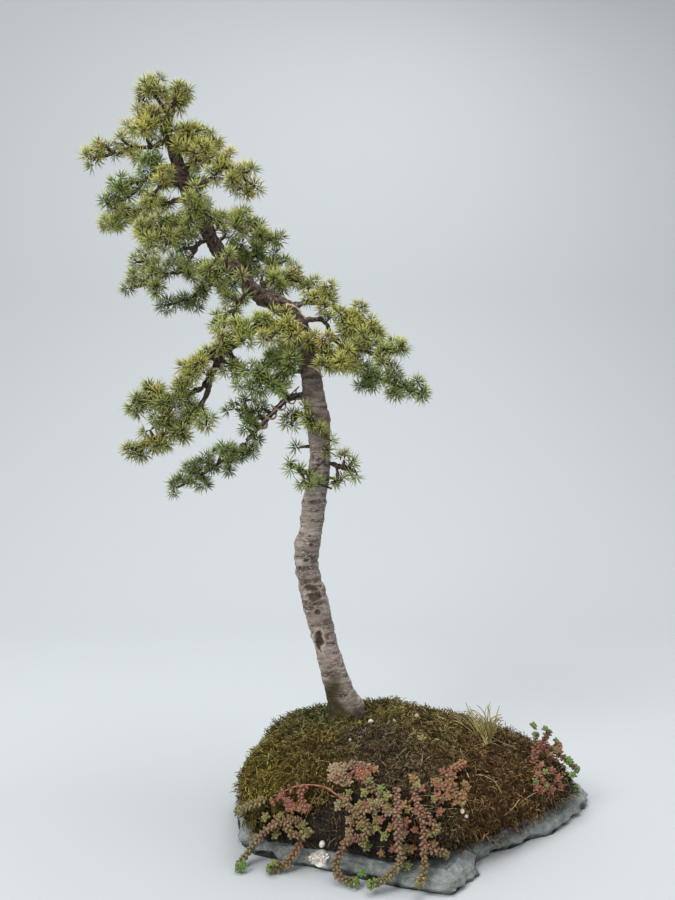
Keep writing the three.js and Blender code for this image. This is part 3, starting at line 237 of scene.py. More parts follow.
def finish_piece(shape, name, finish, slot, *nodes):
    """Makes a form one of the bonsai's pieces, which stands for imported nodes."""
    mesh = bpy.data.meshes.new(name)
    shape.to_mesh(mesh)
    shape.free()
    mesh.shade_smooth()
    mesh.materials.append(finish)
    piece = bpy.data.objects.new(name, mesh)
    bpy.context.scene.collection.objects.link(piece)
    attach(piece, "root")
    if nodes:
        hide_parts(*nodes)
    return piece


def broken_edge(spot, height):
    """How far the rim stands out at a place: flakes and chips less the bites, all in millimetres."""
    layer = Vector((spot.x * 34, spot.y * 34, height * 0.08))
    chip = noise.noise(layer) * 2.6 + noise.noise(layer * 3.1) * 1.6
    chip += noise.noise(spot * 90) * 3.6 + noise.noise(spot * 330) * 1.4
    flake = Vector((spot.x * 62, spot.y * 62, height * 0.07))
    chip += (noise.voronoi(flake)[0][0] - 0.45) * FLAKE_MM
    bite = max(0, noise.noise(Vector((spot.x * 26, spot.y * 26, 0.7))) - 0.04) * BITE_MM
    return chip - RIM_BACK_MM - bite


slab = merged_copy("slate_slab")
cut_across(slab, 2, [(top + lip) / 1000 for top in SHEET_TOPS_MM for lip in (0, SHEET_LIP_MM)])
low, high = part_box("slate_slab")
for axis in (0, 1):
    count = int((high[axis] - low[axis]) / RIM_GRAIN)
    cut_across(slab, axis, [low[axis] + RIM_GRAIN * (step + 0.5) for step in range(count)])
bmesh.ops.triangulate(slab, faces=slab.faces[:])
slab_top = max(vert.co.z for vert in slab.verts)
slab.normal_update()
vein_spot = BVHTree.FromBMesh(slab).ray_cast(EYE, sight(*VEIN_AT))[0]
broken = slab.verts.layers.float.new("broken")
vein = slab.verts.layers.float.new("vein")
for vert in slab.verts:
    height = vert.co.z * 1000
    out = Vector((vert.normal.x, vert.normal.y, 0))
    side = 0.01 < height < slab_top * 1000 - 0.01
    away = (vert.co - vein_spot + noise.noise_vector(vert.co * 160) * 0.005).length
    vert[vein] = clamped((VEIN_REACH - away) / VEIN_EDGE)
    if side and out.length > 0.05:
        vert.co += out.normalized() * broken_edge(vert.co, height) / 1000
        vert.co.z += noise.noise(vert.co * 120) * 0.0012 * min(1, height / 6)
        vert[broken] = 1
    elif height > 1:
        near = Vector((vert.co.x * 22, vert.co.y * 22, 3.3))
        vert.co.z -= max(0, round(noise.noise(near) * 3.4)) * STEP_DOWN
        vert[broken] = 0.2

slate, tree, shader, place = new_finish("slate", 0.62)
top = two_tones(tree, place, *SLATE_TOP, scale=18, detail=7, low=0.38, high=0.62)
rim = two_tones(tree, place, *SLATE_RIM, scale=130, detail=8, roughness=0.75)
rim = stained(tree, place, rim, paint(*RIM_PITS), scale=520, low=0.54, high=0.64, amount=0.55)
stone = blended(tree, attribute(tree, "broken"), top, rim)
stone = stained(tree, place, stone, paint(*SLATE_PALE), scale=260, low=0.58, high=0.7, amount=0.4)
stone = stained(tree, place, stone, paint(*SLATE_BROWN), scale=31, low=0.54, high=0.68, amount=0.4)
stone = blended(tree, attribute(tree, "vein"), stone, paint(*VEIN_WHITE))
height = put(tree, "ShaderNodeSeparateXYZ", {"Vector": place}).outputs["Z"]
# Painted shade: the rim darkens towards the table over its lowest 6.5 mm
foot = {"Value": height, "From Min": 0.0065, "From Max": 0.0005}
under = put(tree, "ShaderNodeMapRange", foot, clamp=True).outputs["Result"]
stone = blended(tree, under, stone, paint(*SLATE_FOOT_PAINTED_SHADE))
tree.links.new(stone, shader.inputs["Base Color"])
grained(tree, shader, place, 190, 800, 0.8, 0.0014, 0.9)
split_slate = finish_piece(slab, "slab_of_split_slate", slate, "slate", "slate_slab")
split_slate.data.shade_flat()


# Soil mound
# Dark potting soil heaped on the slab without a pot. It shows at the front left below the moss,
# crumbly and full of fine roots.
SOIL_GRAIN = 0.0036
SOIL_ROUGH = ((90, 1.6), (260, 0.9))
CRUMBS = 1300
ROOTLETS = 120
ROOTLET_STEP = 0.0028
SOIL_PAINT = ((20, 16, 13), (49, 39, 30))
SOIL_DUST = (78, 62, 46)
ROOT_PAINT = ((62, 48, 36), (134, 112, 82))


def final_form(block):
    """The form of an object with its modifiers or bevel applied; the object is used up."""
    skin = bpy.data.meshes.new_from_object(block.evaluated_get(bpy.context.evaluated_depsgraph_get()))
    form = bmesh.new()
    form.from_mesh(skin)
    bpy.data.objects.remove(block)
    bpy.data.meshes.remove(skin)
    return form


def recast(shape, grain):
    """The same form, with an even skin of small faces."""
    mesh = bpy.data.meshes.new("recast")
    shape.to_mesh(mesh)
    shape.free()
    block = bpy.data.objects.new("recast", mesh)
    bpy.context.scene.collection.objects.link(block)
    coat = block.modifiers.new("grain", "REMESH")
    coat.mode = "VOXEL"
    coat.voxel_size = grain
    even = final_form(block)
    bpy.data.meshes.remove(mesh)
    return even


def roughen(shape, layers, salt):
    """Moves every vertex along its normal by a few layers of noise: times per metre, depth in mm."""
    shape.normal_update()
    for vert in shape.verts:
        rise = sum(noise.noise(vert.co * scale + Vector((salt, scale, 0))) * depth
                   for scale, depth in layers)
        vert.co += vert.normal * rise / 1000


def scattered(shape, count, chosen, rng, apart=0.0001, tries=1):
    """Places on a form's faces, spread by area and kept apart, with the normal at each."""
    faces = [face for face in shape.faces if chosen(face)]
    weights = [face.calc_area() for face in faces]
    found = []
    cells = {}
    for face in rng.choices(faces, weights, k=count * tries):
        corners = [loop.vert.co for loop in face.loops]
        shares = [rng.random() + 0.01 for _ in corners]
        total = sum(shares)
        spot = sum((corner * share / total for corner, share in zip(corners, shares)), Vector())
        across, along, up = (math.floor(part / apart) for part in spot)
        around = [(across + right, along + back, up + above)
                  for right in (-1, 0, 1) for back in (-1, 0, 1) for above in (-1, 0, 1)]
        close = [other for cell in around for other in cells.get(cell, ())
                 if (other - spot).length < apart]
        if not close and len(found) < count:
            cells.setdefault((across, along, up), []).append(spot)
            found.append((spot, face.normal.copy()))
    return found


def tubes(name, paths, radii, roundness=0):
    """Thin round stems along paths, as one form; each has its own radius and thins towards its tip."""
    wires = bpy.data.curves.new(name, "CURVE")
    wires.dimensions = "3D"
    wires.bevel_depth = 1.0
    wires.bevel_resolution = roundness
    for path, radius in zip(paths, radii):
        line = wires.splines.new("POLY")
        line.points.add(len(path) - 1)
        for index, (point, spot) in enumerate(zip(line.points, path)):
            point.co = (*spot, 1)
            point.radius = radius * (1 - 0.55 * index / (len(path) - 1))
    wires.use_fill_caps = True
    rope = bpy.data.objects.new(name, wires)
    bpy.context.scene.collection.objects.link(rope)
    form = final_form(rope)
    bpy.data.curves.remove(wires)
    return form


def crawl(start, heading, steps, step, skin, rng, turn=0.5, lift=0.0004):
    """A path that creeps over a skin from a start, turning at random."""
    path = [start]
    for _ in range(steps):
        heading = Matrix.Rotation(rng.uniform(-turn, turn), 3, "Z") @ heading
        spot, normal, _, _ = skin.find_nearest(path[-1] + heading.normalized() * step)
        path.append(spot + normal * lift)
        heading = path[-1] - path[-2] if (path[-1] - path[-2]).length > step / 4 else heading
    return path


soil = recast(merged_copy("soil_mound"), SOIL_GRAIN)
roughen(soil, SOIL_ROUGH, 4.0)
soil_skin = BVHTree.FromBMesh(soil)
moss_skin = BVHTree.FromBMesh(merged_copy("moss_mat"))
rng = random.Random(5)


def lies_open(face):
    """Whether a face of the soil has no moss over it."""
    if face.normal.z < -0.3:
        return False
    spot = face.calc_center_median()
    return moss_skin.ray_cast(spot + face.normal * 0.002, face.normal, 0.02)[0] is None


bare = {face.index for face in soil.faces if lies_open(face)}
crumb = bmesh.new()
for spot, normal in scattered(soil, CRUMBS, lambda face: face.index in bare, rng):
    size = rng.uniform(0.0007, 0.0019)
    turn = Matrix.Rotation(rng.uniform(0, 6), 4, (rng.random(), rng.random(), 0.3))
    squeeze = Matrix.Diagonal((1, rng.uniform(0.6, 1), rng.uniform(0.5, 0.9), 1))
    bmesh.ops.create_icosphere(crumb, subdivisions=1, radius=size,
                               matrix=Matrix.Translation(spot + normal * size * 0.4) @ turn @ squeeze)
root_paths = []
for spot, normal in scattered(soil, ROOTLETS, lambda face: face.index in bare, rng):
    heading = Vector((rng.uniform(-1, 1), rng.uniform(-0.5, 0.5), rng.uniform(-1, 0.4)))
    steps = rng.randint(5, 12)
    start = spot + normal * 0.0005
    root_paths.append(crawl(start, heading, steps, ROOTLET_STEP, soil_skin, rng, 0.8, 0.0006))

earth, tree, shader, place = new_finish("dark_soil", 0.95)
colour = two_tones(tree, place, *SOIL_PAINT, scale=60, low=0.35, high=0.68)
colour = stained(tree, place, colour, paint(*SOIL_DUST), scale=420, low=0.6, high=0.75)
tree.links.new(colour, shader.inputs["Base Color"])
grained(tree, shader, place, 60, 420, 0.6, 0.003)
finish_piece(soil, "heaped_soil", earth, "soil", "soil_mound")
finish_piece(crumb, "soil_crumbs", earth, "soil")

root_bark, tree, shader, place = new_finish("root_bark", 0.85)
colour = two_tones(tree, place, *ROOT_PAINT, scale=90, detail=3)
tree.links.new(colour, shader.inputs["Base Color"])
roots = tubes("rootlets", root_paths, [rng.uniform(0.0003, 0.0007) for _ in root_paths])
finish_piece(roots, "fine_roots", root_bark, "soil")


# Moss mat
# Living and dry moss that covers the mound like a fleece: olive and yellow-green on the left, grey
# and purple-brown in the middle, reddish straw on the right. Its curved strands lie over each other.
MOSS_GRAIN = 0.0034
MOSS_ROUGH = ((34, 3.0), (80, 2.6), (170, 1.8), (340, 0.8))
MOSS_INSET_MM = 2.4
# The far left lies lower still: where that starts, over how much it grows, and how deep it gets
LEFT_FROM_MM = -60
LEFT_OVER_MM = 30
LEFT_INSET_MM = 2.0
CLUMP_KINDS = 7
CLUMPS = 2350
STRANDS_PER_CLUMP = 15
CLUMP_REACH = 0.0085
CLUMPS_APART = 0.006
# Where the strands are parted into a left and a right piece
MIDDLE_X = 0.06
DRY_MOSS = ((92, 66, 42), (178, 142, 96))
MOSS_SHADE = ((196, 190, 182), (255, 255, 255))
# Where each kind of moss grows: x and y in millimetres, how far it reaches, its low and its tip colour
MOSS_KINDS = (
    (-60, -60, 60, (84, 72, 34), (212, 188, 104)),
    (-40, 30, 70, (78, 80, 42), (176, 178, 112)),
    (-30, -15, 36, (76, 80, 50), (172, 178, 128)),
    (-92, -70, 28, (84, 82, 34), (202, 194, 88)),
    (-72, -120, 34, (88, 78, 34), (206, 192, 98)),
    (-20, -100, 40, (80, 66, 36), (200, 178, 104)),
    (30, -20, 22, (92, 82, 32), (214, 196, 100)),
    (35, -80, 40, (66, 54, 44), (176, 158, 132)),
    (60, -120, 40, (68, 56, 42), (174, 156, 120)),
    (100, -20, 60, (80, 68, 40), (190, 172, 110)),
    (90, 40, 60, (76, 70, 42), (178, 168, 106)),
    (130, -70, 50, (78, 64, 42), (184, 166, 110)),
    (170, -90, 45, (88, 60, 40), (200, 162, 108)),
    (200, -40, 45, (84, 62, 42), (198, 168, 112)),
    (240, -30, 40, (72, 58, 42), (176, 154, 112)),
    (230, 20, 50, (72, 64, 42), (172, 160, 106)),
)


def moss_kind(spot):
    """Low and tip colour of the moss at a place, drifting from one kind to the next."""
    wander = noise.noise_vector(spot * 24) * 0.016 + noise.noise_vector(spot * 70) * 0.007
    seen = (spot + wander) * 1000
    shares = []
    for x, y, reach, _, _ in MOSS_KINDS:
        away = math.hypot(seen.x - x, seen.y - y) / reach
        shares.append(math.exp(-away * away * 1.6) + 1e-9)
    total = sum(shares)
    mixed = []
    for which in (3, 4):
        parts = [[kind[which][part] * share / total for kind, share in zip(MOSS_KINDS, shares)]
                 for part in range(3)]
        mixed.append([sum(part) for part in parts])
    return mixed


def spindle(form, base, heading, length, wide, bow, tone=0.0, middle=0.45):
    """A thin closed spike with one bend, as a needle or a moss strand is, with its place along it."""
    along = form.verts.layers.float["along"]
    change = form.verts.layers.float["change"]
    heading = heading.normalized()
    across = heading.orthogonal().normalized()
    other = heading.cross(across)
    waist = base + heading * length * middle + bow * length
    turns = [math.tau * side / 3 for side in range(3)]
    root = form.verts.new(base)
    ring = [form.verts.new(waist + (across * math.cos(turn) + other * math.sin(turn)) * wide / 2)
            for turn in turns]
    tip = form.verts.new(base + heading * length)
    for one, two in zip(ring, ring[1:] + ring[:1]):
        form.faces.new((root, two, one))
        form.faces.new((one, two, tip))
    for vert, share in ((root, 0.0), (ring[0], middle), (ring[1], middle), (ring[2], middle), (tip, 1.0)):
        vert[along] = share
        vert[change] = tone


def spiky_form():
    """An empty form for spindles, with the values that each vertex carries."""
    form = bmesh.new()
    form.verts.layers.float.new("along")
    form.verts.layers.float.new("change")
    return form


def as_mesh(form, name):
    """A form as a mesh; the form is used up."""
    mesh = bpy.data.meshes.new(name)
    form.to_mesh(mesh)
    form.free()
    return mesh


def planted(shape, mesh, spot, up, turn, size):
    """Sets a copy of a small form on a place, turned about its own axis; gives its new vertices."""
    before = len(shape.verts)
    lie = up.to_track_quat("Z", "Y").to_matrix().to_4x4()
    copy = mesh.copy()
    copy.transform(Matrix.Translation(spot) @ lie @ Matrix.Rotation(turn, 4, "Z") @ Matrix.Scale(size, 4))
    shape.from_mesh(copy)
    bpy.data.meshes.remove(copy)
    shape.verts.ensure_lookup_table()
    return shape.verts[before:]


def leaning(lean, turn):
    """A direction that leans from upright by one angle and is turned round by another."""
    return Vector((math.sin(lean) * math.cos(turn), math.sin(lean) * math.sin(turn), math.cos(lean)))


def clump_of_moss(rng):
    """Curved strands that lean out of one small patch in all directions."""
    clump = spiky_form()
    for _ in range(STRANDS_PER_CLUMP):
        round_way = rng.uniform(0, math.tau)
        away = CLUMP_REACH * rng.random() ** 0.5
        base = Vector((math.cos(round_way) * away, math.sin(round_way) * away, -0.001))
        lean = rng.uniform(0.6, 1.5)
        turn = rng.uniform(0, math.tau)
        heading = leaning(lean, turn)
        bow = Vector((rng.uniform(-0.16, 0.16), rng.uniform(-0.16, 0.16), rng.uniform(0.1, 0.32)))
        wide = rng.uniform(0.0009, 0.0014)
        spindle(clump, base, heading, rng.uniform(0.007, 0.0145), wide, bow, rng.random(), 0.5)
    return as_mesh(clump, "clump")


def faces_out(spot, normal):
    """Whether a place on the moss is on its upper side, not on the side that lies on the soil."""
    return normal.dot(soil_skin.find_nearest(spot)[1]) > 0.05


def outward(face):
    """Whether strands grow from a face of the moss."""
    return faces_out(face.calc_center_median(), face.normal) and face.normal.z > -0.35


moss = recast(merged_copy("moss_mat"), MOSS_GRAIN)
roughen(moss, MOSS_ROUGH, 9.0)
moss.normal_update()
for vert in [vert for vert in moss.verts if faces_out(vert.co, vert.normal)]:
    inset = MOSS_INSET_MM + LEFT_INSET_MM * clamped((LEFT_FROM_MM - vert.co.x * 1000) / LEFT_OVER_MM)
    vert.co -= vert.normal * inset / 1000
moss.normal_update()
tint = moss.verts.layers.float_color.new("tint")
for vert in moss.verts:
    low, tip = moss_kind(vert.co)
    share = clamped(0.05 + 0.5 * noise.noise(vert.co * 200))
    vert[tint] = paint(*between(low, tip, share))

rng = random.Random(21)
clumps = [clump_of_moss(rng) for _ in range(CLUMP_KINDS)]
fleece = [spiky_form() for _ in range(2)]
for form in fleece:
    form.verts.layers.float_color.new("tint")
for spot, normal in scattered(moss, CLUMPS, outward, rng, CLUMPS_APART, 5):
    form = fleece[0 if spot.x < MIDDLE_X else 1]
    up = (normal + Vector((0, 0, 0.35))).normalized()
    new = planted(form, rng.choice(clumps), spot, up, rng.uniform(0, 6.28), rng.uniform(0.7, 1.15))
    low, tip = moss_kind(spot)
    dry = max(0, rng.random() - 0.6) * 1.4
    low, tip = between(low, DRY_MOSS[0], dry), between(tip, DRY_MOSS[1], dry)
    bright = rng.uniform(0.52, 1.16)
    along = form.verts.layers.float["along"]
    change = form.verts.layers.float["change"]
    tint = form.verts.layers.float_color["tint"]
    for vert in new:
        tone = bright * (0.66 + 0.6 * vert[change])
        vert[tint] = paint(*[min(255, part * tone) for part in between(low, tip, vert[along] ** 0.9)])

moss_finish, tree, shader, place = new_finish("moss", 0.9)
shader.inputs["Specular IOR Level"].default_value = 0.2
shade = two_tones(tree, place, *MOSS_SHADE, scale=90, low=0.3, high=0.7)
colour = blended(tree, 1.0, attribute(tree, "tint", "Color"), shade, "MULTIPLY")
tree.links.new(colour, shader.inputs["Base Color"])
grained(tree, shader, place, 120, 520, 0.7, 0.003)
finish_piece(moss, "moss_fleece", moss_finish, "moss", "moss_mat")
finish_piece(fleece[0], "moss_sprigs_left", moss_finish, "moss")
finish_piece(fleece[1], "moss_sprigs_right", moss_finish, "moss")


# Trunk and limbs
# The cedar's own wood: a slim trunk with rings at its old wounds, a sharp bend, and gnarled limbs.
# Grey-brown flaky bark below, darker purple-brown wood above, mossy and dark at the foot.
WOOD_GRAIN = 0.0014
BURIED_BELOW = 0.088
YOUNG_BARK = ((186, 174, 164), (80, 67, 60))
OLD_BARK = ((118, 99, 87), (50, 40, 36))
BLEACHED_BARK = ((150, 144, 138), (60, 54, 50))
YOUNG_CRACKS = (70, 57, 50)
YOUNG_FLAKES = (206, 196, 186)
YOUNG_BROWN = (136, 117, 106)
OLD_FLAKES = (142, 126, 114)
SPECKS = (206, 196, 184)
BLACKENED_WOOD = (46, 39, 36)
WOUND_LIP = (206, 190, 172)
WOUND = (66, 50, 38)
FOOT_MOSS = ((54, 45, 36), (88, 86, 50))
# Swellings of the trunk: height, how tall, how proud, all in millimetres
TRUNK_RINGS = (
    (196, 3.2, 1.2), (202, 2.2, -0.8), (212, 6, 0.7), (256, 6, 1.2), (265, 3, -0.7), (275, 5, 1.2),
    (296, 4, 1.0), (304, 2.4, -0.7), (312, 4, 1.1), (345, 6, 0.8), (366, 4, 1.1), (372, 2.2, -0.8),
    (393, 5, 0.7), (430, 8, 0.6), (468, 7, 0.9), (496, 6, 0.7),
)
# Marks on the trunk: place in the picture, half width, half height and depth in millimetres, darkness
TRUNK_MARKS = (
    (311, 588, 9.0, 4.5, 0.7, 0.85), (314, 597, 9.0, 5.5, 1.2, 0.85), (314, 597, 3.6, 3.0, -1.0, 0.2),
    (319, 641, 5.6, 11.5, 2.0, 0.95), (306, 560, 4.0, 3.0, 1.0, 0.9), (311, 545, 3.4, 2.6, 0.8, 0.85),
    (317, 612, 4.0, 3.2, 1.1, 0.9), (310, 536, 2.6, 2.0, 0.6, 0.8), (319, 552, 2.6, 1.8, 0.5, 0.7),
    (300, 568, 2.4, 3.4, 0.8, 0.8), (320, 586, 2.4, 2.0, 0.6, 0.7), (303, 400, 6, 4, -2.2, 0.1),
    (327, 420, 4, 4, -1.2, 0.2), (313, 520, 4, 2, 0.7, 0.5), (305, 577, 4, 1.6, 0.7, 0.6),
    (313, 626, 3, 1.6, 0.7, 0.6), (330, 668, 3.4, 1.7, 0.6, 0.5),
)
# The trunk's middle: height and how far to the right, in millimetres
TRUNK_MIDDLE = (
    (88, 12), (108, 9), (142, -2), (181, -13), (240, -28), (293, -39), (330, -33), (368, -29), (430, -21),
    (492, -29), (560, -42), (572, -45)
)
TRUNK_REACH = 23
TRUNK_REACH_BELOW = 38
NARROW_ABOVE = 400
# The foot spreads to the right: below which height, over how much height, and how far
FLARE_BELOW = 146
FLARE_TALL = 46
FLARE_MM = 6
# Places on the wood in millimetres, seen from the front: left, right, bottom, top
LEFT_LIMB_AT = (-400, -45, 470, 600)
BLEACHED_AT = (-52, -22, 598, 628)
BLACKENED_AT = (-24, 400, 545, 1000)
LEFT_LIMB_SWELLING = 1.2
# The leader's top is thicker round its middle line: from which height on, and how much
LEADER_FROM = 720
LEADER_MIDDLE = (-168, 755)
LEADER_LEAN = 0.42
LEADER_SWELLING = 3.2
# Heights where the old bark starts and where the moss on the foot ends
OLD_BARK_FROM = 440
MOSSY_BELOW = 154
# Bites of old wires, as lines in the picture
WIRE_BITES = (
    ((313, 471), (319, 466), (325, 462)),
    ((312, 457), (320, 459), (330, 458)),
    ((303, 500), (311, 503), (320, 500)),
    ((304, 583), (318, 581)),
    ((303, 607), (314, 605), (327, 604)),
)

wood = recast(merged_copy("tree_wood"), WOOD_GRAIN)
parts = wood.verts[:] + wood.edges[:] + wood.faces[:]
bmesh.ops.bisect_plane(wood, geom=parts, dist=1e-6, plane_co=(0, 0, BURIED_BELOW), plane_no=(0, 0, -1),
                       clear_outer=True)
bmesh.ops.holes_fill(wood, edges=[edge for edge in wood.edges if edge.is_boundary], sides=0)
for _ in range(2):
    bmesh.ops.smooth_vert(wood, verts=wood.verts, factor=0.5, use_axis_x=True, use_axis_y=True,
                          use_axis_z=True)
wood.normal_update()
bark_skin = BVHTree.FromBMesh(merged_copy("tree_wood"))
marks = []
for across, down, wide, tall, deep, dark in TRUNK_MARKS:
    spot = bark_skin.ray_cast(EYE, sight(across, down))[0]
    marks.append((spot, wide / 1000, tall / 1000, deep / 1000, dark))
bites = [[bark_skin.ray_cast(EYE, sight(*place))[0] for place in line] for line in WIRE_BITES]


def on_bare_trunk(x, y, z):
    """Whether a place, in millimetres, lies on the trunk below its bend."""
    for (low, left), (high, right) in zip(TRUNK_MIDDLE, TRUNK_MIDDLE[1:]):
        if low <= z < high:
            reach = TRUNK_REACH_BELOW if z < NARROW_ABOVE else TRUNK_REACH
            middle = left + (right - left) * (z - low) / (high - low)
            return math.hypot(x - middle, y) < reach
    return z < TRUNK_MIDDLE[0][0]


def ringed(height, sideways):
    """How far the trunk's swellings stand out at a height, in millimetres."""
    rise = 0
    for middle, tall, proud in TRUNK_RINGS:
        away = (height - middle - 1.5 * math.sin(sideways * 0.2 + middle)) / tall
        if abs(away) < 2.5:
            rise += proud * math.exp(-away * away)
    return rise


def within(x, z, patch):
    """Whether a place, in millimetres, lies in a patch seen from the front."""
    left, right, bottom, top = patch
    return left < x < right and bottom < z < top


def flared(x, z):
    """How far the trunk's foot spreads to the right, in millimetres."""
    return FLARE_MM * (clamped((FLARE_BELOW - z) / FLARE_TALL) ** 2 * clamped((x - 2) / 14))


def leader_swelling(x, z):
    """How much thicker the leader's top is than packed, in millimetres."""
    beside = x + LEADER_LEAN * (z - LEADER_MIDDLE[1]) - LEADER_MIDDLE[0]
    return LEADER_SWELLING * clamped((z - LEADER_FROM) / 60) * math.exp(-(beside / 22) ** 2)


def scarred(spot):
    """Depth in millimetres, darkness and paleness of the marks at a place."""
    rise, dark, pale = 0, 0, 0
    for middle, wide, tall, deep, darkness in marks:
        sideways = math.hypot(spot.x - middle.x, (spot.y - middle.y) * 0.6) / wide
        away = math.hypot(sideways, (spot.z - middle.z) / tall)
        away += noise.noise(spot * 150) * 0.5 + noise.noise(spot * 400) * 0.3
        if away < 1.7:
            rise -= deep * 1000 * max(0, 1 - away ** 3)
            lip = math.exp(-((away - 1.2) / 0.2) ** 2)
            rise += 0.8 * lip
            pale = max(pale, (0.85 if deep > 0.0015 else 0.25) * lip)
            dark = max(dark, darkness * clamped((1.15 - away) * 2.4))
    for bite in bites:
        for one, two in zip(bite, bite[1:]):
            span = two - one
            share = clamped((spot - one).dot(span) / span.length_squared)
            away = (spot - one - span * share).length * 1000
            if away < 4:
                rise -= 1.2 * math.exp(-(away / 1.4) ** 2)
                dark = max(dark, 0.75 * math.exp(-(away / 1.3) ** 2))
    return rise, dark, pale


stain = wood.verts.layers.float.new("stain")
pale_lip = wood.verts.layers.float.new("pale")
hollow = wood.verts.layers.float.new("hollow")
mossy = wood.verts.layers.float.new("mossy")
upper = wood.verts.layers.float.new("upper")
bleached = wood.verts.layers.float.new("bleached")
blackened = wood.verts.layers.float.new("blackened")
for vert in wood.verts:
    x, y, z = vert.co * 1000
    on_trunk = on_bare_trunk(x, y, z)
    rise = noise.noise(vert.co * 75) * 0.8
    if on_trunk:
        ripple = Vector((vert.co.x * 42, vert.co.y * 42, vert.co.z * 210))
        skin = noise.noise(ripple) * 0.95 + noise.noise(ripple * 2.3) * 0.5
        skin -= abs(noise.noise(ripple * 1.4)) * 0.7
        cut, dark, pale = scarred(vert.co)
        rise += ringed(z, x) + cut + flared(x, z)
    else:
        knobs = noise.noise(vert.co * 120)
        skin = noise.noise(vert.co * 230) * 0.8 - abs(noise.noise(vert.co * 150)) * 0.9
        rise += max(0, knobs) * 2.0 + noise.noise(vert.co * 60) * 1.2
        rise += LEFT_LIMB_SWELLING if y < -25 and within(x, z, LEFT_LIMB_AT) else 0
        rise += leader_swelling(x, z)
        dark, pale = 0, 0
    rise += skin
    vert[hollow] = clamped(0.42 - skin * 0.9)
    vert[stain] = dark
    vert[pale_lip] = pale
    vert[mossy] = clamped((MOSSY_BELOW - z + 16 * noise.noise(vert.co * 60) - 1.1 * max(0, x)) / 26)
    vert[upper] = clamped((z - OLD_BARK_FROM) / 130) if on_trunk else 1
    vert[bleached] = float(within(x, z, BLEACHED_AT))
    vert[blackened] = float(not on_trunk and within(x, z, BLACKENED_AT))
    vert.co += vert.normal * rise / 1000

bark, tree, shader, place = new_finish("cedar_bark", 0.85)
shader.inputs["Specular IOR Level"].default_value = 0.3
banded = put(tree, "ShaderNodeMapping", {"Vector": place, "Scale": (120, 120, 330)}).outputs["Vector"]
hollows = attribute(tree, "hollow")
young = blended(tree, hollows, paint(*YOUNG_BARK[0]), paint(*YOUNG_BARK[1]))
young = stained(tree, banded, young, paint(*YOUNG_CRACKS), scale=1.0, low=0.5, high=0.66, amount=0.62)
young = stained(tree, banded, young, paint(*YOUNG_FLAKES), scale=1.9, low=0.54, high=0.66, amount=0.75)
young = stained(tree, place, young, paint(*YOUNG_BROWN), scale=34, low=0.45, high=0.66, amount=0.6)
old = blended(tree, hollows, paint(*OLD_BARK[0]), paint(*OLD_BARK[1]))
old = stained(tree, place, old, paint(*OLD_FLAKES), scale=210, low=0.58, high=0.7, amount=0.6)
colour = blended(tree, attribute(tree, "upper"), young, old)
grey = blended(tree, hollows, paint(*BLEACHED_BARK[0]), paint(*BLEACHED_BARK[1]))
colour = blended(tree, attribute(tree, "bleached"), colour, grey)
colour = blended(tree, attribute(tree, "blackened"), colour, paint(*BLACKENED_WOOD))
colour = stained(tree, place, colour, paint(*SPECKS), scale=300, low=0.6, high=0.72, amount=0.65)
colour = blended(tree, attribute(tree, "pale"), colour, paint(*WOUND_LIP))
colour = blended(tree, attribute(tree, "stain"), colour, paint(*WOUND))
root_moss = stained(tree, place, paint(*FOOT_MOSS[0]), paint(*FOOT_MOSS[1]), scale=210, low=0.36,
                    high=0.72, amount=0.8)
colour = blended(tree, attribute(tree, "mossy"), colour, root_moss)
tree.links.new(colour, shader.inputs["Base Color"])
grained(tree, shader, banded, 1.6, 7, 0.7, 0.0022)
finish_piece(wood, "trunk_and_limbs", bark, "bark", "tree_wood")


# Training wire
# Brown anodised wire of soft aluminium, about 4 mm thick, wound by hand round the bend and two limbs
# to set their shape. Beside it stand a few black pegs, all that is left of dead twigs.
WIRE_THICK_MM = 3.6
WIRE_ROUNDNESS = 2
WIRE_LIFT = 0.003
CURVE_STEPS = 4
RING_REACH = 0.0042
PEG_THICK = 0.0022
WIRE_PAINT = ((164, 142, 126), (222, 206, 190))
PEG_PAINT = ((26, 23, 22), (64, 56, 52))
# Turns of the wire that the picture shows best, as lines in the picture
TURNS_AT = (
    ((287, 305), (294, 307), (300, 312), (306, 319)),
    ((292, 320), (300, 324), (309, 329)),
    ((309, 366), (316, 369), (321, 376)),
)
# Short black dead pegs on the trunk: place in the picture, depth in mm, reach and fall in the picture
PEGS_AT = ((315, 361, -8, 12, 1), (331, 483, -8, 12, -3), (321, 484, -14, 11, 5), (300, 395, -4, -9, 5))

wire_metal, tree, shader, place = new_finish("brown_aluminium", 0.42)
shader.inputs["Metallic"].default_value = 0.25
worn = placed(tree, PATCHES, {"Vector": place, "Scale": 210, "Detail": 4, "Low": 0.45, "High": 0.7})
colour = blended(tree, worn, paint(*WIRE_PAINT[0]), paint(*WIRE_PAINT[1]))
tree.links.new(colour, shader.inputs["Base Color"])
rough = put(tree, "ShaderNodeMapRange", {"Value": worn, "To Min": 0.4, "To Max": 0.62}).outputs["Result"]
tree.links.new(rough, shader.inputs["Roughness"])


def world_place(across, down, depth_mm):
    """The place that the picture shows at a point, at a known depth."""
    ray = sight(across, down)
    return EYE + ray * (depth_mm / 1000 - EYE.y) / ray.y


def rounded(line, steps):
    """A smooth line through all points of a coarse one."""
    smooth_line = []
    for index in range(len(line) - 1):
        before, one = line[max(0, index - 1)], line[index]
        two, after = line[index + 1], line[min(len(line) - 1, index + 2)]
        for step in range(steps):
            share = step / steps
            bend = (2 * one + (two - before) * share + (2 * before - 5 * one + 4 * two - after) * share ** 2
                    + (3 * one - before - 3 * two + after) * share ** 3)
            smooth_line.append(bend / 2)
    return smooth_line + [line[-1]]


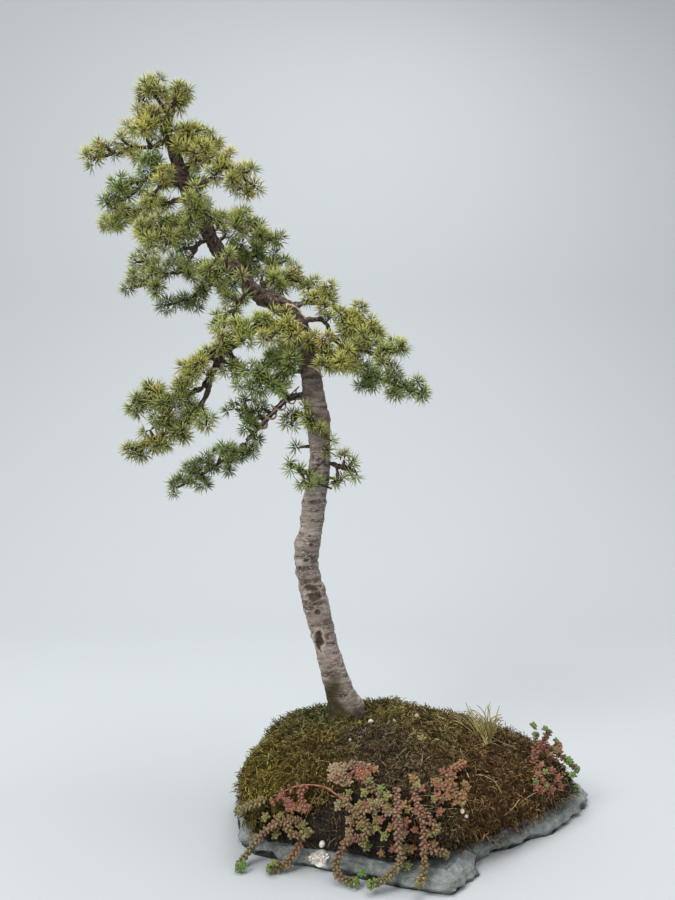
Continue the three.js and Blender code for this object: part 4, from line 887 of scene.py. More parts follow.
def wire_line(node, reach):
    """The middle line of a wound wire, from the rings of vertices of its packed form."""
    shape = merged_copy(node)
    spots = [vert.co.copy() for vert in shape.verts]
    shape.free()
    centres = []
    while spots:
        near = [spot for spot in spots if (spot - spots[0]).length < reach]
        spots = [spot for spot in spots if (spot - near[0]).length >= reach]
        centres.append(sum(near, Vector()) / len(near))
    line = [min(centres, key=lambda spot: spot.z)]
    centres.remove(line[0])
    while centres:
        follow = min(centres, key=lambda spot: (spot - line[-1]).length)
        line.append(follow)
        centres.remove(follow)
    return line


turns = []
for line in TURNS_AT:
    hits = [bark_skin.ray_cast(EYE, sight(*place)) for place in line]
    path = [spot + (normal * 0.5 + (EYE - spot).normalized()).normalized() * WIRE_LIFT
            for spot, normal, _, _ in hits]
    behind = Vector((0, 0.008, 0))
    turns.append(rounded([path[0] + behind, *path, path[-1] + behind], CURVE_STEPS))
extra = tubes("turns", turns, [WIRE_THICK_MM / 2000] * len(turns), WIRE_ROUNDNESS)
finish_piece(extra, "wire_turns", wire_metal, "wire")
for node in ("wire_on_bend", "wire_on_left_limb", "wire_on_lower_limb"):
    line = rounded(wire_line(node, RING_REACH), CURVE_STEPS)
    wire = tubes(node, [line], [WIRE_THICK_MM / 2000], WIRE_ROUNDNESS)
    finish_piece(wire, node + "_round", wire_metal, "wire", node)
pegs = [[world_place(across + reach * share, down + fall * share, depth) for share in (0, 0.5, 1)]
        for across, down, depth, reach, fall in PEGS_AT]
charred, tree, shader, place = new_finish("charred_peg", 0.8)
colour = two_tones(tree, place, *PEG_PAINT, scale=300, detail=4)
tree.links.new(colour, shader.inputs["Base Color"])
stubs = tubes("pegs", pegs, [PEG_THICK] * len(pegs), WIRE_ROUNDNESS)
finish_piece(stubs, "dead_pegs", charred, "bark")


# Leafy sprays
# Cedar twigs with short shoots, each with a star of stiff needles up to 15 mm long. New growth at the
# top and on the right is yellow-green; the lower and the shaded sprays are a deeper green as painted shade.
STAR_KINDS = 7
NEEDLES_PER_STAR = 26
NEEDLE_MM = 14.0
NEEDLE_WIDE_MM = 1.45
SHOOT_SPACING_MM = 10.0
STARS_PER_SHOOT = 2
TWIG_GRAIN = 0.0015
TWIG_ROUGH = ((150, 1.1), (380, 0.6))
TWIG_FOOT = 0.0027
SPUR_WIDE = 0.0031
# Each star is turned on from the last by the angle that leaves no gap, as on a real shoot
GOLDEN_TURN = 2.39996
TWIG_PAINT = ((34, 27, 24), (92, 75, 64))
FOLIAGE = {
    "gold": ("crown_tip", "crown_left", "crown_cap", "crown_left_low", "crown_right", "right_upper",
             "left_front", "shelf_over_bend", "right_cap", "right_front", "right_shelf"),
    "olive": ("left_middle", "left_back", "front_upper", "right_middle", "front_middle", "left_long",
              "hanging", "right_outer", "shelf_left", "left_end_upper", "left_end_lower", "left_inner",
              "right_thin", "limb_under", "knob_left", "trunk_front", "trunk_right_low"),
    "green": ("left_twig", "right_back", "right_tail", "inner_shelf", "inner_upper", "back_upper",
              "trunk_left_low", "left_dark", "lower_upper"),
    # Sprays low down and at the back: their darker colours are painted shade
    "deep": ("back_dark", "lower_end", "back_middle", "back_lower"),
}
# Colour of the needles at the root, dark there as painted shade, at the tip, and of those that turn yellow
FOLIAGE_PAINT = {
    "gold": ((46, 46, 20), (224, 227, 124), (222, 180, 98)),
    "olive": ((46, 49, 26), (212, 221, 124), (210, 178, 102)),
    "green": ((42, 54, 29), (194, 216, 124), (198, 186, 110)),
    # Darker needle colours for the low and back sprays, as painted shade
    "deep": ((38, 50, 31), (180, 196, 122), (178, 174, 104)),
}
# Further twigs of a spray, each from the wood or twig nearest to it, as places in the picture with depth
MORE_TWIGS = {
    "crown_left": ((143, 100, -6), (158, 84, 4), (150, 92, -14)),
    "crown_left_low": ((96, 150, 14), (108, 148, 4), (88, 158, 18), (122, 140, -4)),
    "crown_tip": ((184, 92, 4), (172, 104, -8), (180, 108, 2)),
    "crown_cap": ((166, 116, -14), (152, 126, -24), (172, 130, -12), (138, 116, -14), (164, 140, -16),
                  (150, 114, 6)),
    "crown_right": ((196, 132, 4), (178, 146, -14), (190, 152, -14), (206, 150, -8), (214, 138, 12)),
    "right_upper": ((222, 160, -14), (232, 178, -20), (214, 176, -26)),
    "left_front": ((160, 184, -30), (152, 192, -36)),
    "front_upper": ((196, 212, -34), (208, 216, -36), (190, 222, -40)),
    "left_dark": ((122, 190, -34), (112, 208, -24)),
    "left_back": ((150, 204, 20), (128, 208, 30), (118, 224, 36)),
    "left_middle": ((156, 226, -34), (168, 238, -36), (182, 234, -28), (146, 236, -30), (192, 226, -22)),
    "left_twig": ((184, 244, -14), (176, 252, -8)),
    "left_long": ((136, 262, 30), (146, 254, 34), (160, 286, 20), (190, 276, 10)),
    "right_middle": ((236, 222, 14), (250, 232, 20), (226, 236, 6), (268, 240, 22)),
    "front_middle": ((206, 266, -46), (228, 278, -42)),
    "right_back": ((246, 256, 34), (262, 250, 48), (284, 262, 52), (272, 258, 44)),
    "right_thin": ((262, 276, 20), (274, 284, 14), (292, 280, 34), (308, 290, 34)),
    "back_dark": ((232, 286, 20), (204, 290, 32), (184, 300, 36)),
    "hanging": ((216, 318, -32), (228, 312, -30)),
    "shelf_over_bend": ((272, 316, -32), (286, 314, -26), (262, 324, -34)),
    "shelf_left": ((250, 326, -44), (238, 334, -52), (262, 318, -36)),
    "left_inner": ((190, 366, -60), (200, 362, -58), (186, 380, -62), (206, 374, -54), (232, 366, -40)),
    "left_end_upper": ((176, 392, -62), (188, 400, -58), (160, 402, -62), (150, 392, -60),
                       (138, 400, -64)),
    "left_end_lower": ((190, 414, -56), (206, 424, -56), (172, 408, -62), (160, 418, -62),
                       (182, 436, -60), (150, 430, -62)),
    "lower_upper": ((262, 408, 10), (250, 400, 14), (240, 414, 10), (258, 424, 8), (236, 402, 12)),
    "lower_end": ((246, 428, 22), (256, 440, 24), (228, 450, 32), (204, 474, 40), (250, 418, 20)),
    "inner_shelf": ((262, 370, -34), (274, 382, -30), (286, 360, -26), (294, 354, -26)),
    "inner_upper": ((270, 356, 24), (282, 362, 10), (294, 350, 8)),
    "right_cap": ((316, 298, 0), (324, 308, -6), (308, 300, 6)),
    "right_shelf": ((338, 312, -6), (352, 322, -16), (364, 332, -10), (344, 328, -12), (372, 322, -16),
                    (330, 318, -8)),
    "right_outer": ((366, 346, -28), (384, 352, -34), (400, 348, -38), (352, 352, -22)),
    "right_front": ((330, 342, -24), (330, 356, -36), (344, 362, -48), (352, 368, -40), (334, 362, -26)),
    "right_tail": ((356, 368, -10), (370, 378, -14), (392, 384, -20), (410, 392, -22), (362, 386, -12)),
    "knob_left": ((304, 408, -22), (312, 420, -26), (296, 416, -14)),
    "trunk_front": ((318, 430, -26), (326, 449, -22)),
    "trunk_left_low": ((318, 486, -26), (310, 478, -26), (298, 448, -8)),
    "trunk_right_low": ((334, 478, -14), (346, 468, -16)),
}
TURNING = ("crown_cap", "crown_right", "right_upper", "right_thin", "right_cap")
SPARSE = ("left_front", "lower_upper", "crown_left_low", "front_middle", "trunk_front", "trunk_left_low",
          "trunk_right_low", "knob_left", "hanging", "left_twig")
SHADED = ("lower_end", "lower_upper", "back_dark", "back_lower", "back_middle", "inner_upper")


def star_of_needles(rng):
    """The star of needles at the end of a short shoot, from its axis back past its sides."""
    star = spiky_form()
    for index in range(NEEDLES_PER_STAR):
        share = (index + 0.5) / NEEDLES_PER_STAR
        polar = 0.1 + 1.75 * share ** 0.8 + rng.uniform(-0.12, 0.12)
        turn = GOLDEN_TURN * index + rng.uniform(-0.2, 0.2)
        heading = leaning(polar, turn)
        bow = Vector((heading.x, heading.y, 0)) * 0.05 + Vector((0, 0, -0.04))
        length = NEEDLE_MM / 1000 * rng.uniform(0.8, 1.08)
        spindle(star, heading * 0.0008, heading, length, NEEDLE_WIDE_MM / 1000, bow, rng.random(), 0.4)
    return as_mesh(star, "star")


def spikes_and_core(node, shortest):
    """Root and tip of each needle of a packed spray, and its twig with the needles taken off."""
    core = merged_copy(node)
    tips = [vert for vert in core.verts
            if len(vert.link_edges) == 3 and min(edge.calc_length() for edge in vert.link_edges) > shortest]
    spikes = []
    for vert in tips:
        roots = [edge.other_vert(vert).co for edge in vert.link_edges]
        spikes.append((sum(roots, Vector()) / 3, vert.co.copy()))
    bmesh.ops.delete(core, geom=tips, context="VERTS")
    bmesh.ops.holes_fill(core, edges=[edge for edge in core.edges if edge.is_boundary], sides=3)
    return spikes, core


def middles_of(spots, reach):
    """Places grouped with those that lie near, as the middle of each group."""
    left = list(spots)
    middles = []
    while left:
        group = [left.pop(0)]
        near = group
        while near:
            middle = sum(group, Vector()) / len(group)
            near = [spot for spot in left if (spot - middle).length < reach]
            group += near
            left = [spot for spot in left if spot not in near]
        middles.append(sum(group, Vector()) / len(group))
    return middles


def tree_of(places, first):
    """The shortest tree of lines that joins all places, from the one nearest to the first."""
    joined = [min(places, key=lambda place: (place - first).length)]
    left = [place for place in places if place is not joined[0]]
    lines = []
    while left:
        pairs = ((one, two) for one in joined for two in left)
        near, far = min(pairs, key=lambda pair: (pair[0] - pair[1]).length)
        lines.append((near, far))
        joined.append(far)
        left.remove(far)
    return lines


def computed(tree, one, two, operation):
    """A value worked out from two others."""
    return put(tree, "ShaderNodeMath", {0: one, 1: two}, operation=operation).outputs[0]


def needle_finish(name, low, tip, aged):
    """Needles: darker at the root as painted shade in the depths of the spray, paler at the tip, some
    yellowed.
    """
    finish, tree, shader, place = new_finish(name, 0.62)
    shader.inputs["Specular IOR Level"].default_value = 0.25
    share = attribute(tree, "along")
    change = computed(tree, attribute(tree, "change"), 0.72, "MULTIPLY")
    green = computed(tree, share, 0.95, "POWER")
    # The dark root colour paints the shade in the depths of the spray
    colour = blended(tree, green, paint(*low), paint(*tip))
    colour = blended(tree, change, colour, paint(*between(low, tip, 0.24)))
    colour = stained(tree, place, colour, paint(*between(tip, aged, 0.15)), scale=24, detail=3, low=0.42,
                     high=0.66, amount=0.45)
    yellow = computed(tree, attribute(tree, "age"), share, "MULTIPLY")
    tree.links.new(blended(tree, yellow, colour, paint(*aged)), shader.inputs["Base Color"])
    return finish


def shoots_along(centres, foot, rng):
    """Places of short shoots along a spray's twigs, each with the twig's direction there."""
    lines = tree_of(centres, foot)
    start = min(centres, key=lambda place: (place - foot).length)
    if (start - foot).length > 0.012:
        lines.append((foot.lerp(start, 0.4), start))
    places = []
    for centre in centres:
        ends = [two - one for one, two in lines if two is centre] or [centre - foot]
        places.append((centre, ends[0].normalized()))
    for one, two in lines:
        steps = max(2, round((two - one).length * 1000 / SHOOT_SPACING_MM))
        for step in range(1, steps):
            share = (step + rng.uniform(-0.3, 0.3)) / steps
            places.append((one.lerp(two, share), (two - one).normalized()))
    return places


def leafy_spray(name, stars, spurs, rng):
    """The needles of a spray as one form, its twig, and the twig's foot and start.

    The short shoots go to the form spurs, and the feet of further twigs to the list feet.
    """
    spikes, core = spikes_and_core("spray_" + name, 0.0045)
    centres = middles_of([root for root, _ in spikes], 0.0075)
    foot = min((vert.co for vert in core.verts), key=lambda place: bark_skin.find_nearest(place)[3]).copy()
    spray = spiky_form()
    age = spray.verts.layers.float.new("age")
    places = shoots_along(centres, foot, rng)
    known = [spot for spot, _ in places]
    for picture_place in MORE_TWIGS.get(name, ()):
        end = world_place(*picture_place)
        on_wood = bark_skin.find_nearest(end)[0]
        on_twig = min(known, key=lambda spot: (spot - end).length)
        start = min((on_wood, on_twig), key=lambda spot: (spot - end).length)
        feet.append((start, end))
        steps = max(1, round((end - start).length * 1000 / SHOOT_SPACING_MM))
        first = 1 if steps > 2 else 0
        line = (end - start).normalized()
        places += [(start.lerp(end, (step + 1) / steps), line) for step in range(first, steps)]
    for index, (spot, line) in enumerate(places):
        side = line.cross(Vector((0, 0, 1)))
        side = side.normalized() if side.length > 0.2 else Vector((0, 1, 0))
        up = side.cross(line).normalized()
        up = up if up.z > 0 else -up
        for part in range(1 if name in SPARSE else STARS_PER_SHOOT):
            swing = 2.4 * index + part * 2.9 + rng.uniform(-0.5, 0.5)
            out = up * (0.3 + math.sin(swing)) + side * math.cos(swing) + line * rng.uniform(-0.2, 0.6)
            out.normalize()
            reach = rng.uniform(0.001, 0.0078)
            spindle(spurs, spot - out * 0.0006, out, reach + 0.0014, SPUR_WIDE, Vector(), 0.0, 0.6)
            size = rng.uniform(0.84, 1.06)
            new = planted(spray, rng.choice(stars), spot + out * reach, out, rng.uniform(0, 6.28), size)
            yellow = rng.random() ** (5 if name in TURNING else 12)
            for vert in new:
                vert[age] = yellow
    return spray, core, foot, min(centres, key=lambda place: (place - foot).length)


twig_bark, tree, shader, place = new_finish("twig_bark", 0.85)
colour = two_tones(tree, place, *TWIG_PAINT, scale=320, detail=4)
tree.links.new(colour, shader.inputs["Base Color"])
grained(tree, shader, place, 260, 700, 0.5, 0.001)

rng = random.Random(77)
stars = [star_of_needles(rng) for _ in range(STAR_KINDS)]
twigs = bmesh.new()
spurs = spiky_form()
feet = []
for look, names in FOLIAGE.items():
    needles = needle_finish("needles_" + look, *FOLIAGE_PAINT[look])
    for name in names:
        spray, core, foot, start = leafy_spray(name, stars, spurs, rng)
        slot = "needles_dark" if name in SHADED else "needles"
        finish_piece(spray, "spray_" + name + "_needles", needles, slot, "spray_" + name)
        core.normal_update()
        for vert in core.verts:
            vert.co += vert.normal * (0.0006 + 0.0026 * math.exp(-(vert.co - foot).length / 0.05))
        nearest = bark_skin.find_nearest(foot)[0]
        feet.append((nearest - (foot - nearest).normalized() * 0.004, foot.lerp(start, 0.3)))
        twigs.from_mesh(as_mesh(core, "core"))
twigs = recast(twigs, TWIG_GRAIN)
roughen(twigs, TWIG_ROUGH, 6.0)
finish_piece(twigs, "spray_twigs", twig_bark, "bark")
finish_piece(spurs, "short_shoots", twig_bark, "bark")
lines = [[one, one.lerp(two, 0.5) + noise.noise_vector(one * 300) * 0.002, two] for one, two in feet]
twig_feet = tubes("twig_feet", lines, [TWIG_FOOT] * len(lines), 1)
finish_piece(twig_feet, "twig_feet", twig_bark, "bark")


# Stonecrop
# Creeping stonecrop with fat little leaves, rooted in the mound and trailing over the slab's edge.
# Growing tips are green, drought and sun turn the older leaves red-brown, pink and beige.
LEAF_STEP_MM = 2.7
LEAF_MM = 4.8
TIP_LEAVES = 13
LEAF_SHADE = 0.69
STEM_THICK = 0.0011
DUSTY = (160, 138, 104)
LEAF_BLOOM = (196, 172, 138)
STEM_PAINT = ((120, 62, 52), (170, 112, 84))
ROSETTE_PAINT = {
    "lime": (188, 190, 96), "green": (132, 176, 74), "bright": (104, 206, 66),
    "pink": (204, 104, 88), "orange": (216, 150, 84), "beige": (232, 200, 160),
}
# Patches of crowded rosettes in the picture: left, top, right, bottom, how many, colours
CROWDED = (
    (338, 792, 388, 850, 20, ("lime", "beige", "lime", "pink")),
    (331, 764, 352, 788, 10, ("beige", "beige", "pink")),
    (352, 767, 376, 786, 7, ("pink", "pink", "orange")),
    (530, 738, 560, 792, 16, ("pink", "pink", "green")),
    (266, 812, 312, 836, 9, ("lime", "orange", "lime")),
    (405, 782, 440, 858, 15, ("lime", "orange", "pink")),
    (440, 768, 466, 802, 8, ("pink", "orange")),
    (276, 794, 312, 812, 5, ("pink", "pink")),
    (388, 796, 404, 850, 8, ("pink", "beige", "orange")),
)
# Single rosettes of short side shoots, as places in the picture
ROSETTES_AT = {
    "lime": ((341, 803), (371, 803), (355, 815), (376, 820), (367, 826), (397, 824), (428, 834),
             (440, 853), (416, 787), (421, 740), (301, 827), (289, 822), (277, 827), (308, 831),
             (350, 832), (384, 836), (360, 806), (405, 850)),
    "green": ((369, 782), (381, 789), (367, 846), (407, 866), (534, 782), (244, 808), (544, 730),
              (554, 750), (532, 727), (275, 864), (399, 838)),
    "bright": ((362, 874), (243, 866), (572, 776), (567, 761), (574, 790)),
    "pink": ((437, 787), (452, 777), (446, 784), (282, 798), (290, 806), (416, 812), (545, 752),
             (540, 766), (550, 771), (545, 786), (556, 781), (537, 776), (549, 760), (358, 772),
             (366, 776), (372, 770)),
    "orange": ((461, 796), (466, 788), (455, 803), (301, 809), (413, 779), (381, 854), (447, 797)),
    "beige": ((336, 771), (343, 776), (349, 783), (345, 768), (338, 783), (380, 803), (388, 812),
              (349, 820), (393, 812)),
}
# Each stem's route in millimetres, with the colour of its old leaves and of its tip
STONECROP = {
    "beige": (
        (((8, -152, 86), (5, -141, 95), (16, -134, 100), (33, -138, 98)),
         (204, 178, 138), (222, 198, 156)),
        (((13, -135, 99), (29, -153, 90), (43, -164, 84)),
         (206, 130, 112), (150, 176, 92)),
    ),
    "middle": (
        (((12, -158, 79), (9, -163, 72), (22, -168, 66), (29, -174, 57), (25, -175, 40)),
         (190, 150, 104), (160, 170, 84)),
        (((18, -167, 68), (31, -170, 72), (39, -171, 77)),
         (196, 152, 112), (176, 176, 96)),
        (((26, -175, 44), (14, -172, 45), (6, -168, 34), (0, -169, 22), (-1, -173, 11), (8, -177, 6),
          (18, -182, 7)),
         (190, 126, 98), (124, 190, 78)),
        (((10, -161, 75), (0, -159, 80), (-13, -152, 85), (-34, -143, 83), (-52, -141, 77),
          (-67, -143, 66)),
         None, (190, 96, 80)),
        (((-34, -143, 83), (-38, -148, 73), (-30, -156, 66)),
         (190, 98, 82), (196, 112, 84)),
    ),
    "long_chain": (
        (((59, -162, 89), (59, -174, 77), (59, -182, 60), (59, -183, 44), (62, -182, 29),
          (55, -184, 20), (43, -189, 13), (31, -190, 10)),
         (206, 152, 128), (124, 206, 84)),
    ),
    "right_chain": (
        (((76, -160, 88), (79, -170, 78), (84, -177, 62), (84, -180, 46), (85, -179, 30),
          (84, -186, 22), (78, -196, 14)),
         (200, 136, 116), (168, 182, 98)),
        (((80, -172, 74), (89, -174, 68), (97, -177, 54)),
         (198, 124, 108), (176, 190, 100)),
        (((84, -180, 42), (96, -178, 36), (107, -170, 27)),
         (196, 132, 112), (176, 192, 104)),
    ),
    "orange": (
        (((106, -141, 90), (118, -136, 94), (134, -117, 94)),
         (216, 124, 98), (222, 140, 100)),
        (((114, -139, 93), (121, -152, 79), (127, -154, 70)),
         (210, 150, 96), (204, 180, 98)),
    ),
    "right_clump": (
        (((224, -66, 70), (229, -60, 82), (231, -52, 98)),
         (196, 112, 92), (128, 156, 80)),
        (((228, -61, 79), (242, -44, 85), (252, -34, 94)),
         (200, 100, 86), (136, 158, 80)),
        (((240, -46, 84), (256, -36, 74), (265, -30, 77)),
         (202, 108, 92), (120, 158, 74)),
        (((254, -38, 75), (272, -40, 62), (283, -42, 52)),
         (206, 130, 108), (124, 166, 76)),
    ),
    "left_edge": (
        (((-76, -137, 66), (-88, -138, 60), (-99, -132, 52), (-106, -124, 46)),
         (176, 156, 100), (110, 136, 76)),
    ),
    "left_trail": (
        (((-36, -149, 50), (-54, -149, 49), (-69, -147, 42), (-82, -143, 28), (-92, -143, 14),
          (-98, -146, 7), (-100, -156, 6)),
         (190, 146, 110), (130, 196, 84)),
        (((-52, -149, 49), (-46, -154, 38), (-32, -157, 40)),
         (184, 140, 92), (172, 180, 92)),
    ),
    "front_trail": (
        (((-36, -150, 33), (-42, -152, 21), (-50, -154, 9), (-61, -157, 6), (-69, -158, 6)),
         (196, 136, 100), (134, 190, 88)),
    ),
}


leaf_form = bmesh.new()
bmesh.ops.create_uvsphere(leaf_form, u_segments=6, v_segments=4, radius=1,
                          matrix=Matrix.Diagonal((0.32, 0.25, 0.5, 1)) @ Matrix.Translation((0, 0, 1)))
ONE_LEAF = as_mesh(leaf_form, "leaf")


def fat_leaf(plant, spot, heading, length, dye):
    """One fat pointed leaf, set with its root on a place."""
    tint = plant.verts.layers.float_color["tint"]
    for vert in planted(plant, ONE_LEAF, spot, heading, 0.0, length):
        vert[tint] = dye


def evenly(line, step):
    """Places a fixed way apart along a line, each with the line's direction."""
    found = []
    left = 0.0
    for one, two in zip(line, line[1:]):
        long = (two - one).length
        while left < long:
            found.append((one.lerp(two, left / long), (two - one).normalized()))
            left += step
        left -= long
    return found


def leaf_dye(colour, rng):
    """The colour of one leaf: a little dusty, and lighter or darker than the next."""
    tone = rng.uniform(0.84, 1.12) * LEAF_SHADE
    dusty = between(colour, DUSTY, rng.uniform(0.2, 0.5))
    return paint(*[min(255, part * tone * rng.uniform(0.95, 1.05)) for part in dusty])


def rosette(plant, spot, way, colour, size, rng):
    """A rosette of fat leaves, open round its foot and closed at its tip."""
    side = way.orthogonal().normalized()
    for index in range(TIP_LEAVES):
        share = index / (TIP_LEAVES - 1)
        turn = Matrix.Rotation(GOLDEN_TURN * index, 3, way)
        heading = (turn @ side) * math.cos(1.45 * share) + way * (0.25 + math.sin(1.45 * share))
        length = LEAF_MM / 1000 * size * (1.2 - 0.4 * share)
        fat_leaf(plant, spot - way * 0.001, heading.normalized(), length, leaf_dye(colour, rng))


def leafy_stem(plant, route, old, tip, rng):
    """Leaves in twos and threes along a stem, closer and greener at its tip, and the tip's rosette."""
    line = rounded([Vector(point) / 1000 for point in route], 6)
    stations = evenly(line, LEAF_STEP_MM / 1000)
    for index, (spot, way) in enumerate(stations):
        share = index / len(stations)
        if old is None:
            if share < 0.6 or index % 3:
                continue
            colour = tip
        else:
            colour = between(old, tip, max(0, share - 0.45) * 1.5 * rng.uniform(0.5, 1.1))
        side = way.orthogonal().normalized()
        for part in range(3):
            round_way = 2.0944 * part + 1.05 * (index % 2) + rng.uniform(-0.25, 0.25)
            turn = Matrix.Rotation(round_way, 3, way)
            heading = (turn @ side + way * rng.uniform(0.25, 0.6)).normalized()
            fat_leaf(plant, spot, heading, LEAF_MM / 1000 * rng.uniform(0.9, 1.3), leaf_dye(colour, rng))
    way = (line[-1] - line[-2]).normalized() + Vector((0, -0.25, 0.35))
    rosette(plant, line[-1], way.normalized(), tip, 1.0, rng)
    return line


stonecrop_leaf, tree, shader, place = new_finish("stonecrop_leaf", 0.52)
shader.inputs["Specular IOR Level"].default_value = 0.35
colour = stained(tree, place, attribute(tree, "tint", "Color"), paint(*LEAF_BLOOM), scale=420, low=0.42,
                 high=0.7, amount=0.25)
tree.links.new(colour, shader.inputs["Base Color"])
shader.inputs["Subsurface Weight"].default_value = 0.12
shader.inputs["Subsurface Radius"].default_value = (0.004, 0.003, 0.002)
shader.inputs["Subsurface Scale"].default_value = 0.3
stem_skin, tree, shader, place = new_finish("stonecrop_stem", 0.6)
colour = two_tones(tree, place, *STEM_PAINT, scale=160, detail=3)
tree.links.new(colour, shader.inputs["Base Color"])

rng = random.Random(12)
stem_lines = []
for name, stems in STONECROP.items():
    plant = bmesh.new()
    plant.verts.layers.float_color.new("tint")
    for route, old, tip in stems:
        stem_lines.append(leafy_stem(plant, route, old, tip, rng))
    finish_piece(plant, "stonecrop_" + name + "_leaves", stonecrop_leaf, "stonecrop", "stonecrop_" + name)
skins = [BVHTree.FromBMesh(merged_copy(node)) for node in ("moss_mat", "soil_mound", "slate_slab")]


def seen_place(across, down):
    """The place on the ground that the picture shows at a point."""
    hits = [skin.ray_cast(EYE, sight(across, down))[0] for skin in skins]
    found = [hit for hit in hits if hit is not None]
    return min(found, key=lambda hit: (hit - EYE).length) if found else None


plant = bmesh.new()
plant.verts.layers.float_color.new("tint")
crowd = {colour: list(places) for colour, places in ROSETTES_AT.items()}
for left, above, right, below, count, colours in CROWDED:
    for index in range(count):
        crowd[colours[index % len(colours)]].append((rng.uniform(left, right), rng.uniform(above, below)))
for colour, places in crowd.items():
    for across, down in places:
        spot = seen_place(across, down)
        if spot is None:
            nearest = min((point for line in stem_lines for point in line),
                          key=lambda point: (point - EYE).normalized().angle(sight(across, down)))
            spot = world_place(across, down, nearest.y * 1000)
        up = Vector((rng.uniform(-0.5, 0.5), rng.uniform(-1.0, -0.3), rng.uniform(0.3, 1.0))).normalized()
        spot += Vector((0, -0.0045, 0.003))
        rosette(plant, spot, up, ROSETTE_PAINT[colour], rng.uniform(0.95, 1.25), rng)
finish_piece(plant, "stonecrop_rosettes", stonecrop_leaf, "stonecrop")
stems = tubes("stems", stem_lines, [STEM_THICK] * len(stem_lines), 1)
finish_piece(stems, "stonecrop_stems", stem_skin, "stonecrop")


# Grass tuft and pumice
# A dry tuft of grass that grows at the back of the mound, loose straw on the moss, grains of pumice
# from the soil mix, and small white crystals on the vein of the slab.
STRAWS = 46
BLADES_PER_SPIKE = 6
BLADE_THICK = 0.0008
BLADE_STEPS = 6
PUMICE_GRAIN = 0.0006
PUMICE_ROUGH = ((260, 0.6), (900, 0.3))
GRIT_ROUGH = ((260, 0.7), (900, 0.3))
CRYSTALS = 40
STRAW_PAINT = ((118, 110, 62), (194, 178, 120))
PUMICE_PAINT = ((178, 164, 146), (238, 230, 218))
# White grains: place in the picture and radius in millimetres
GRITS_AT = (
    (394, 722, 2.2), (350, 741, 1.8), (322, 845, 3.4),
    (462, 812, 2.6), (466, 817, 2.2), (345, 805, 1.4),
)

straw, tree, shader, place = new_finish("dry_grass", 0.7)
colour = two_tones(tree, place, *STRAW_PAINT, scale=60, detail=3)
tree.links.new(colour, shader.inputs["Base Color"])
spikes, core = spikes_and_core("grass_tuft", 0.012)
core.free()
rng = random.Random(31)
paths = []
for root, tip in spikes:
    for blade in range(BLADES_PER_SPIKE):
        foot = root + Vector((rng.gauss(0, 1), rng.gauss(0, 1), 0)) * 0.0026 - Vector((0, 0, 0.006))
        end = tip + Vector((rng.gauss(0, 1), rng.gauss(0, 1), rng.gauss(0, 1))) * 0.006 * min(1, blade)
        bow = Vector((rng.gauss(0, 0.003), 0, 0.008 + 0.004 * rng.random()))
        shares = [step / BLADE_STEPS for step in range(BLADE_STEPS + 1)]
        paths.append([foot.lerp(end, share) + bow * math.sin(math.pi * share) for share in shares])
tuft = tubes("grass", paths, [BLADE_THICK] * len(paths))
finish_piece(tuft, "grass_blades", straw, "straw", "grass_tuft")
moss_top = BVHTree.FromBMesh(merged_copy("moss_mat"))
loose = []
open_moss = merged_copy("moss_mat")
for spot, normal in scattered(open_moss, STRAWS, lambda face: face.normal.z > 0.2, rng):
    heading = Vector((rng.uniform(-1, 1), rng.uniform(-1, 1), 0))
    start = spot + normal * 0.003
    loose.append(crawl(start, heading, rng.randint(4, 9), 0.0042, moss_top, rng, 0.35, 0.0034))
open_moss.free()
straws = tubes("straws", loose, [rng.uniform(0.0004, 0.0007) for _ in loose])
finish_piece(straws, "loose_straw", straw, "straw")

pumice, tree, shader, place = new_finish("pumice", 0.9)
colour = two_tones(tree, place, *PUMICE_PAINT, scale=700, detail=4, low=0.35, high=0.6)
tree.links.new(colour, shader.inputs["Base Color"])
grained(tree, shader, place, 500, 1200, 0.5, 0.001)
for node in ("pumice_front", "pumice_back"):
    grain = recast(merged_copy(node), PUMICE_GRAIN)
    roughen(grain, PUMICE_ROUGH, 2.0)
    finish_piece(grain, node + "_grain", pumice, "pumice", node)
grit = bmesh.new()
crystals = [(rng.gauss(VEIN_AT[0], 5), rng.gauss(VEIN_AT[1], 2.4), rng.uniform(0.8, 1.8))
            for _ in range(CRYSTALS)]
for across, down, size in (*GRITS_AT, *crystals):
    spot = seen_place(across, down)
    squeeze = Matrix.Diagonal((1, rng.uniform(0.7, 1), rng.uniform(0.6, 0.9), 1))
    lie = Matrix.Translation(spot + Vector((0, -0.002, 0.002))) @ Matrix.Rotation(rng.uniform(0, 3), 4, "Y")
    bmesh.ops.create_icosphere(grit, subdivisions=2, radius=size / 1000, matrix=lie @ squeeze)
roughen(grit, GRIT_ROUGH, 3.0)
finish_piece(grit, "white_grit", pumice, "pumice")


# Studio
# A plain pale floor that sweeps up into a pale wall, soft light, and the camera of the picture.
FLOOR_NEAR = -4.0
FLOOR_FAR = 1.9
WALL_TOP = 4.0
SWEEP = 1.1
HALF_WIDTH = 6.0
SWEEP_STEPS = 24
FLOOR_PAINT = (185, 190, 192)
ROOM_PAINT = (240, 241, 243)
ROOM_LIGHT = 0.78
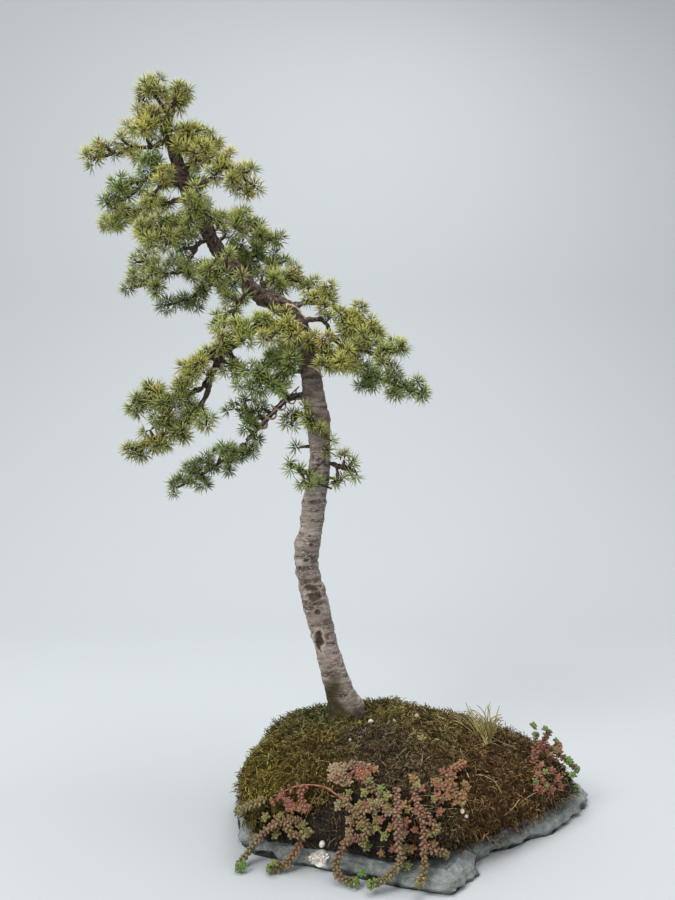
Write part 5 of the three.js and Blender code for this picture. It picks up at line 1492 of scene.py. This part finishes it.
# Lamps: place in metres, size in metres, power in watts
LAMPS = {
    "window_left": ((-1.6, -1.5, 2.2), 1.2, 52),
    "ceiling": ((0.3, 0.2, 2.6), 1.6, 40),
}
LIT_PLACE = Vector((0, 0, 0.4))
SENSOR_MM = 36
PICTURE_HEIGHT = 900

sweep_shape = bmesh.new()
profile = [(FLOOR_NEAR, 0.0)]
for step in range(SWEEP_STEPS + 1):
    turn = math.pi / 2 * step / SWEEP_STEPS
    profile.append((FLOOR_FAR - SWEEP + SWEEP * math.sin(turn), SWEEP - SWEEP * math.cos(turn)))
profile.append((FLOOR_FAR, WALL_TOP))
rows = [[sweep_shape.verts.new((side * HALF_WIDTH, y, z)) for side in (-1, 1)] for y, z in profile]
for (left, right), (next_left, next_right) in zip(rows, rows[1:]):
    sweep_shape.faces.new((left, right, next_right, next_left))
floor_mesh = as_mesh(sweep_shape, "floor")
floor_mesh.shade_smooth()
floor = bpy.data.objects.new("floor", floor_mesh)
bpy.context.scene.collection.objects.link(floor)
floor_finish, tree, shader, place = new_finish("pale_floor", 0.9)
shader.inputs["Base Color"].default_value = paint(*FLOOR_PAINT)
floor_mesh.materials.append(floor_finish)

world = bpy.data.worlds.new("soft_room")
bpy.context.scene.world = world
world.use_nodes = True
world.node_tree.nodes["Background"].inputs["Color"].default_value = paint(*ROOM_PAINT)
world.node_tree.nodes["Background"].inputs["Strength"].default_value = ROOM_LIGHT
for name, (place, size, power) in LAMPS.items():
    light = bpy.data.lights.new(name, "AREA")
    light.size = size
    light.energy = power
    lamp = bpy.data.objects.new(name, light)
    bpy.context.scene.collection.objects.link(lamp)
    lamp.location = place
    lamp.rotation_euler = (LIT_PLACE - Vector(place)).to_track_quat("-Z", "Y").to_euler()

lens = bpy.data.cameras.new("camera")
lens.sensor_width = SENSOR_MM
lens.sensor_fit = "AUTO"
lens.lens = SENSOR_MM * FOCAL / PICTURE_HEIGHT
lens.shift_y = (HORIZON_AT[1] - PICTURE_HEIGHT / 2) / PICTURE_HEIGHT
camera = bpy.data.objects.new("camera", lens)
bpy.context.scene.collection.objects.link(camera)
camera.location = EYE
camera.rotation_euler = (math.pi / 2, 0, 0)
bpy.context.scene.camera = camera
bpy.context.scene.view_settings.view_transform = "Standard"
